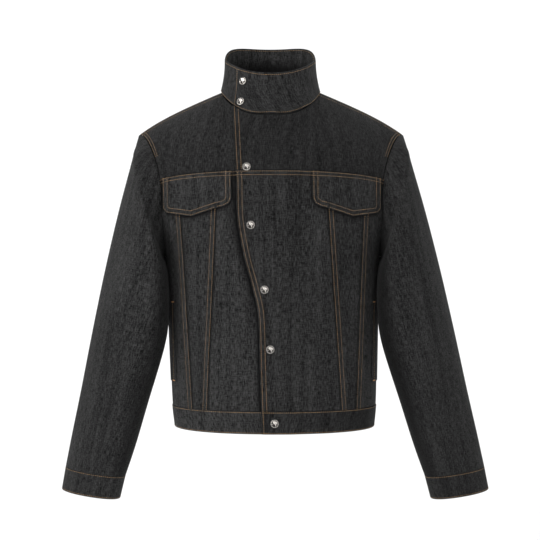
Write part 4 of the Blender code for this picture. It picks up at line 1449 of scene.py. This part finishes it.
for hand, word in HANDS:
    turns = np.linspace(0.0, 2 * math.pi, 101)
    for share in CUFF_LINES:
        stitch_line(f"{word}_cuff", arm_surface(cuff_form, hand), turns, share + 0.0 * turns, BAND)
    beside = lambda level: hand * WELT_LINE + 0.0 * level
    line = upright(hand, beside, WELT_LINE_FOOT, WELT_LINE_HEAD, ON_PANEL + WELT_WALL)
    stitch_line(f"{word}_pocket_welt", *line)
print(sum(len(lines) for lines in threads.values()), "lines of stitches")

# %% [markdown]
# Then Geometry Nodes walk each chain at the stitch pitch and lay one long thin bead per stitch, a little
# uneven in length, width and turn. An Array modifier on a curve would keep every stitch the same. A bead
# can also be turned across its line, which makes the dense bar that ends a pocket.

# %% The stitch maker
def make_stitch_tree():
    tree = bpy.data.node_groups.new("Stitches", "GeometryNodeTree")
    graph = Graph(tree)
    tree.interface.new_socket("Geometry", in_out="INPUT", socket_type="NodeSocketGeometry")
    for name in ("Pitch", "Half Length", "Half Width", "Turn", "Wander"):
        tree.interface.new_socket(name, in_out="INPUT", socket_type="NodeSocketFloat")
    tree.interface.new_socket("Seed", in_out="INPUT", socket_type="NodeSocketInt")
    tree.interface.new_socket("Material", in_out="INPUT", socket_type="NodeSocketMaterial")
    tree.interface.new_socket("Geometry", in_out="OUTPUT", socket_type="NodeSocketGeometry")
    start = tree.nodes.new("NodeGroupInput")
    given = {socket.name: Signal(graph, socket) for socket in start.outputs}
    outward = graph.add("GeometryNodeInputNamedAttribute", {"data_type": "FLOAT_VECTOR"}, {"Name": "outward"})
    chain = graph.add("GeometryNodeMeshToCurve", {}, {"Mesh": given["Geometry"]})
    values = {"Curve": chain, "Length": given["Pitch"]}
    spots = graph.add("GeometryNodeCurveToPoints", {"mode": "LENGTH"}, values)
    tangent = Signal(graph, spots.socket.node.outputs["Tangent"])
    align = "FunctionNodeAlignRotationToVector"
    facing = graph.add(align, {"axis": "X"}, {"Vector": tangent})
    facing = graph.add(align, {"axis": "Z", "pivot_axis": "X"}, {"Rotation": facing, "Vector": outward})

    def uneven(low, high, seed):
        values = {2: low, 3: high, "Seed": given["Seed"] + seed}
        return graph.add("FunctionNodeRandomValue", {"data_type": "FLOAT"}, values, 1)

    turn = given["Turn"] + uneven(-1.0, 1.0, 1) * given["Wander"]
    spin = graph.add("ShaderNodeCombineXYZ", {}, {"Z": turn})
    spin = graph.add("FunctionNodeEulerToRotation", {}, {0: spin})
    facing = graph.add("FunctionNodeRotateRotation", {"rotation_space": "LOCAL"}, {0: facing, 1: spin})
    bead = graph.add("GeometryNodeMeshUVSphere", {}, {"Segments": 7, "Rings": 4, "Radius": 1.0})
    long = given["Half Length"] * uneven(0.9, 1.1, 2)
    wide = given["Half Width"] * uneven(0.9, 1.1, 3)
    size = graph.add("ShaderNodeCombineXYZ", {}, {"X": long, "Y": wide, "Z": given["Half Width"] * 0.75})
    values = {"Points": spots, "Instance": bead, "Rotation": facing, "Scale": size}
    beads = graph.add("GeometryNodeInstanceOnPoints", {}, values)
    beads = graph.add("GeometryNodeRealizeInstances", {}, {"Geometry": beads})
    beads = graph.add("GeometryNodeSetMaterial", {}, {"Geometry": beads, "Material": given["Material"]})
    tree.links.new(beads.socket, tree.nodes.new("NodeGroupOutput").inputs[0])
    return tree


STITCHES = make_stitch_tree()
print(len(STITCHES.nodes), "nodes in the stitch maker")

# %% Beads along chains
stitching = defaultdict(list)


def add_stitches(node, name, lines, material, slot, **inputs):
    """Beads along the chains, kept as a plain mesh."""
    places = np.concatenate([line[0] for line in lines])
    outward = np.concatenate([line[1] for line in lines])
    edges = []
    first = 0
    for line in lines:
        edges += [(first + i, first + i + 1) for i in range(len(line[0]) - 1)]
        first += len(line[0])
    mesh = bpy.data.meshes.new(name)
    mesh.from_pydata(places.tolist(), edges, [])
    layer = mesh.attributes.new("outward", "FLOAT_VECTOR", "POINT")
    layer.data.foreach_set("vector", outward.astype(np.float32).ravel())
    item = bpy.data.objects.new(name, mesh)
    scene.collection.objects.link(item)
    modifier = item.modifiers.new("Stitches", "NODES")
    modifier.node_group = STITCHES
    values = {**inputs, "Material": material, "Seed": len(stitching)}
    for socket in STITCHES.interface.items_tree:
        if socket.name in values:
            modifier[socket.identifier] = values[socket.name]
    item.update_tag()
    bpy.context.view_layer.update()
    graph = bpy.context.evaluated_depsgraph_get()
    made = bpy.data.meshes.new_from_object(item.evaluated_get(graph), depsgraph=graph)
    item.modifiers.remove(modifier)
    item.data = made
    made.shade_smooth()
    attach(item, "root")
    stitching[node].append(item)
    return len(made.polygons)


print("a bead has", 7 * 4, "faces")

# %% The topstitching
THREAD_SIZE = {"Pitch": PITCH, "Half Length": 0.00130, "Turn": 0.0, "Wander": 0.06}
THREAD_HALF_WIDTH, FINE_HALF_WIDTH = 0.00040, 0.00034  # finer beside the upright seams

total = 0
for node, lines in threads.items():
    half_width = FINE_HALF_WIDTH if node.endswith(("middle_front", "side_front")) else THREAD_HALF_WIDTH
    values = {**THREAD_SIZE, "Half Width": half_width}
    total += add_stitches(node, f"{node}_stitches", lines, THREAD, "thread", **values)
print(total, "faces of stitches on", len(stitching), "pieces")

# %% [markdown]
# Bars of brighter thread end the pockets: on a machine they are the same thread, close together and across
# the line. So they are the same beads here, with another pitch and turn.

# %% The bartacks
BAR_HALF = 0.0021
BAR_SIZE = {
    "Pitch": 0.00052, "Half Length": 0.0011, "Half Width": 0.00034, "Turn": math.pi / 2, "Wander": 0.12
}

for hand, word in HANDS:
    bars = []
    for level in (WELT_LINE_FOOT - CORNER, WELT_LINE_HEAD + CORNER):
        x = hand * run(WELT_LINE - BAR_HALF, WELT_LINE + BAR_HALF, 0.001)
        place = (share_at(x, level + 0.0 * x), level + 0.0 * x)
        bars.append(facing_out(front_surface(hand), *place, ON_PANEL + WELT_WALL))
    names = (f"{word}_pocket_welt", f"{word}_bartacks")
    count = add_stitches(*names, bars, BARTACK_THREAD, "bartack_thread", **BAR_SIZE)
    print(word, "bars:", count, "faces")


# %% [markdown]
# ## Snaps
# A snap's cap is a low stamped dome with a rope round its rim and an irregular scroll inside it. It could
# be turned with Spin and carved, but one grid of rings and spokes, from its middle over the dome and rim to
# its back, takes any relief as a formula. How much painted shade each point gets is kept on the points,
# for the metal to be painted nearly black in the hollows and round the rim.

# %% The relief
Ends = namedtuple("Ends", "inner outer soft")
# The rope stops short of the rim, which leaves a ring of painted shade round the cap.
ROPE = Ends(0.76, 0.94, 0.05)
GROOVE = Ends(0.60, 0.80, 0.04)
SCROLL = Ends(0.10, 0.64, 0.06)
ROPE_HEIGHT, SCROLL_HEIGHT, MIDDLE_HEIGHT, GROOVE_DEPTH = 0.00030, 0.00034, 0.00045, 0.00025


def between(ends, radius):
    return smooth((radius - ends.inner) / ends.soft) * smooth((ends.outer - radius) / ends.soft)


def snap_relief(radius, angle):
    """Height of the relief and how much light painted shade leaves on the metal, by share of the radius."""
    groove = between(GROOVE, radius)
    middle = smooth((0.12 - radius) / 0.05)
    strand = 0.5 + 0.5 * np.cos(11 * angle + 16 * radius)
    leaves = smooth(0.34 + 0.9 * np.cos(4 * angle + 9 * radius) + 0.9 * np.cos(angle - 1.1))
    rope, scroll = between(ROPE, radius), between(SCROLL, radius) * leaves
    height = ROPE_HEIGHT * rope * strand + SCROLL_HEIGHT * scroll + MIDDLE_HEIGHT * middle
    light_left_by_painted_shade = rope * (0.2 + 0.8 * strand) + scroll + middle
    return height - GROOVE_DEPTH * groove, np.clip(light_left_by_painted_shade * (1.0 - 0.8 * groove), 0.0, 1.0)


print("the middle stands", MIDDLE_HEIGHT * 1000, "mm above the dome")

# %% One cap
SNAP_RADIUS = 0.0074
SNAP_HEIGHT = 0.0032
SPOKES = 72
DOME_SHARES, DOME_HEIGHTS = (0.0, 0.5, 0.8, 0.97, 1.0), (1.0, 0.94, 0.74, 0.42, 0.22)


def add_snap(number, place, outward):
    outward = unit(outward)
    aside = unit(np.cross(UPWARD, outward))
    upward = np.cross(outward, aside)
    rings = np.concatenate((np.linspace(0.0, 0.97, 30)[1:], (1.0, 0.985, 0.94)))
    base = np.interp(rings[:-2], DOME_SHARES, DOME_HEIGHTS) * SNAP_HEIGHT
    base = np.concatenate((base, (0.08 * SNAP_HEIGHT, 0.0)))
    radius, angle = np.meshgrid(rings, np.arange(SPOKES) * 2 * math.pi / SPOKES, indexing="ij")
    relief, light_left_by_painted_shade = snap_relief(radius, angle)
    relief[-3:] = 0.0
    height = base[:, None] + relief
    flat = radius * SNAP_RADIUS
    points = flat[..., None] * (np.cos(angle)[..., None] * aside + np.sin(angle)[..., None] * upward)
    points = (place + points + height[..., None] * outward).reshape(-1, 3)
    ends = np.array((place + (SNAP_HEIGHT + MIDDLE_HEIGHT) * outward, place))
    index = np.arange(len(points)).reshape(radius.shape)
    index = np.hstack((index, index[:, :1]))
    corners = (index[:-1, :-1], index[1:, :-1], index[1:, 1:], index[:-1, 1:])
    faces = np.stack(corners, axis=-1).reshape(-1, 4).tolist()
    middle, behind = len(points), len(points) + 1
    faces += [(middle, a, b) for a, b in zip(index[0, :-1].tolist(), index[0, 1:].tolist())]
    faces += [(behind, b, a) for a, b in zip(index[-1, :-1].tolist(), index[-1, 1:].tolist())]
    mesh = bpy.data.meshes.new(f"snap_{number}_cap")
    mesh.from_pydata(np.concatenate((points, ends)).tolist(), [], faces)
    mesh.materials.append(SNAP_METAL)
    mesh.shade_smooth()
    tone = mesh.attributes.new("relief", "FLOAT", "POINT")
    tone.data.foreach_set("value", np.append(light_left_by_painted_shade.ravel(), (1.0, 0.0)).astype(np.float32))
    item = bpy.data.objects.new(mesh.name, mesh)
    scene.collection.objects.link(item)
    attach(item, "root")
    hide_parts(f"snap_{number}")


print("a cap is", 2000 * SNAP_RADIUS, "mm across")

# %% [markdown]
# The seven caps sit on the part that laps over: two on the collar, four down the front edge and one on the
# waistband. Each takes its place and its tilt from the surface under it.

# %% The seven snaps
BodySnap = namedtuple("BodySnap", "across level")
BODY_SNAPS = (
    BodySnap(-0.0433, 0.0112),
    BodySnap(-0.0372, -0.0871),
    BodySnap(-0.0147, -0.1996),
    BodySnap(-0.0059, -0.3039),
)
CollarSnap = namedtuple("CollarSnap", "degrees share")
COLLAR_SNAPS = (CollarSnap(-34.0, 0.70), CollarSnap(-35.0, 0.17))

places = [(collar_surface, snap.degrees, snap.share, BAND) for snap in COLLAR_SNAPS]
for snap in BODY_SNAPS:
    share = share_at(np.array(snap.across), np.array(snap.level))
    places.append((front_surface(LEFT), share, snap.level, LAYER))
places.append((waistband_surface, 0.0, WAISTBAND_SNAP_HEIGHT, BAND))
for number, (surface, first, second, top) in enumerate(places, 1):
    add_snap(number, *facing_out(surface, np.array(first), np.array(second), top + SEAM_GAP))
print(len(places), "snaps")

# %% [markdown]
# ## Floor
# The ground is a pale sweep that lies flat below the jacket, as far down as a standing wearer's feet, and
# then curves up behind it, so that no horizon shows. A plane and a wall would meet in a line.

# %% The sweep
FLOOR = -1.45
BEND_START, BEND_RADIUS = 2.5, 1.6
SWEEP_HALF_WIDTH, SWEEP_FRONT, SWEEP_TOP = 14.0, -14.0, 9.0

floor_material = Surface("sweep", (0.95, 0.95, 0.95), Roughness=0.9, Specular_IOR_Level=0.1).material
turn = np.linspace(0.0, math.pi / 2, 17)
bend = BEND_START + BEND_RADIUS * np.sin(turn)
run_out = np.concatenate(((SWEEP_FRONT, -6.0), bend, bend[-1:]))
rise = FLOOR + np.concatenate(((0.0, 0.0), BEND_RADIUS * (1.0 - np.cos(turn)), (SWEEP_TOP,)))
side_to_side = np.array((-SWEEP_HALF_WIDTH, SWEEP_HALF_WIDTH))
points = point(side_to_side[None, :], run_out[:, None], rise[:, None])
index = np.arange(points.shape[0] * 2).reshape(-1, 2)
faces = np.stack((index[:-1, 0], index[:-1, 1], index[1:, 1], index[1:, 0]), axis=-1)
mesh = bpy.data.meshes.new("sweep")
mesh.from_pydata(points.reshape(-1, 3).tolist(), [], faces.tolist())
mesh.materials.append(floor_material)
mesh.shade_smooth()
floor = bpy.data.objects.new("sweep", mesh)
scene.collection.objects.link(floor)
print(len(faces), "faces in the sweep")

# %% [markdown]
# ## Sheets
# Every piece of cloth is one flat cut. Its flat size is the length and width of its outside, measured along
# the cloth: all round on a tube.

# %% How many sheets there are
for item, width, length, area in sheets:
    node = item.name.removesuffix("_cloth")
    stitching[node]
print(len(sheets), "sheets")
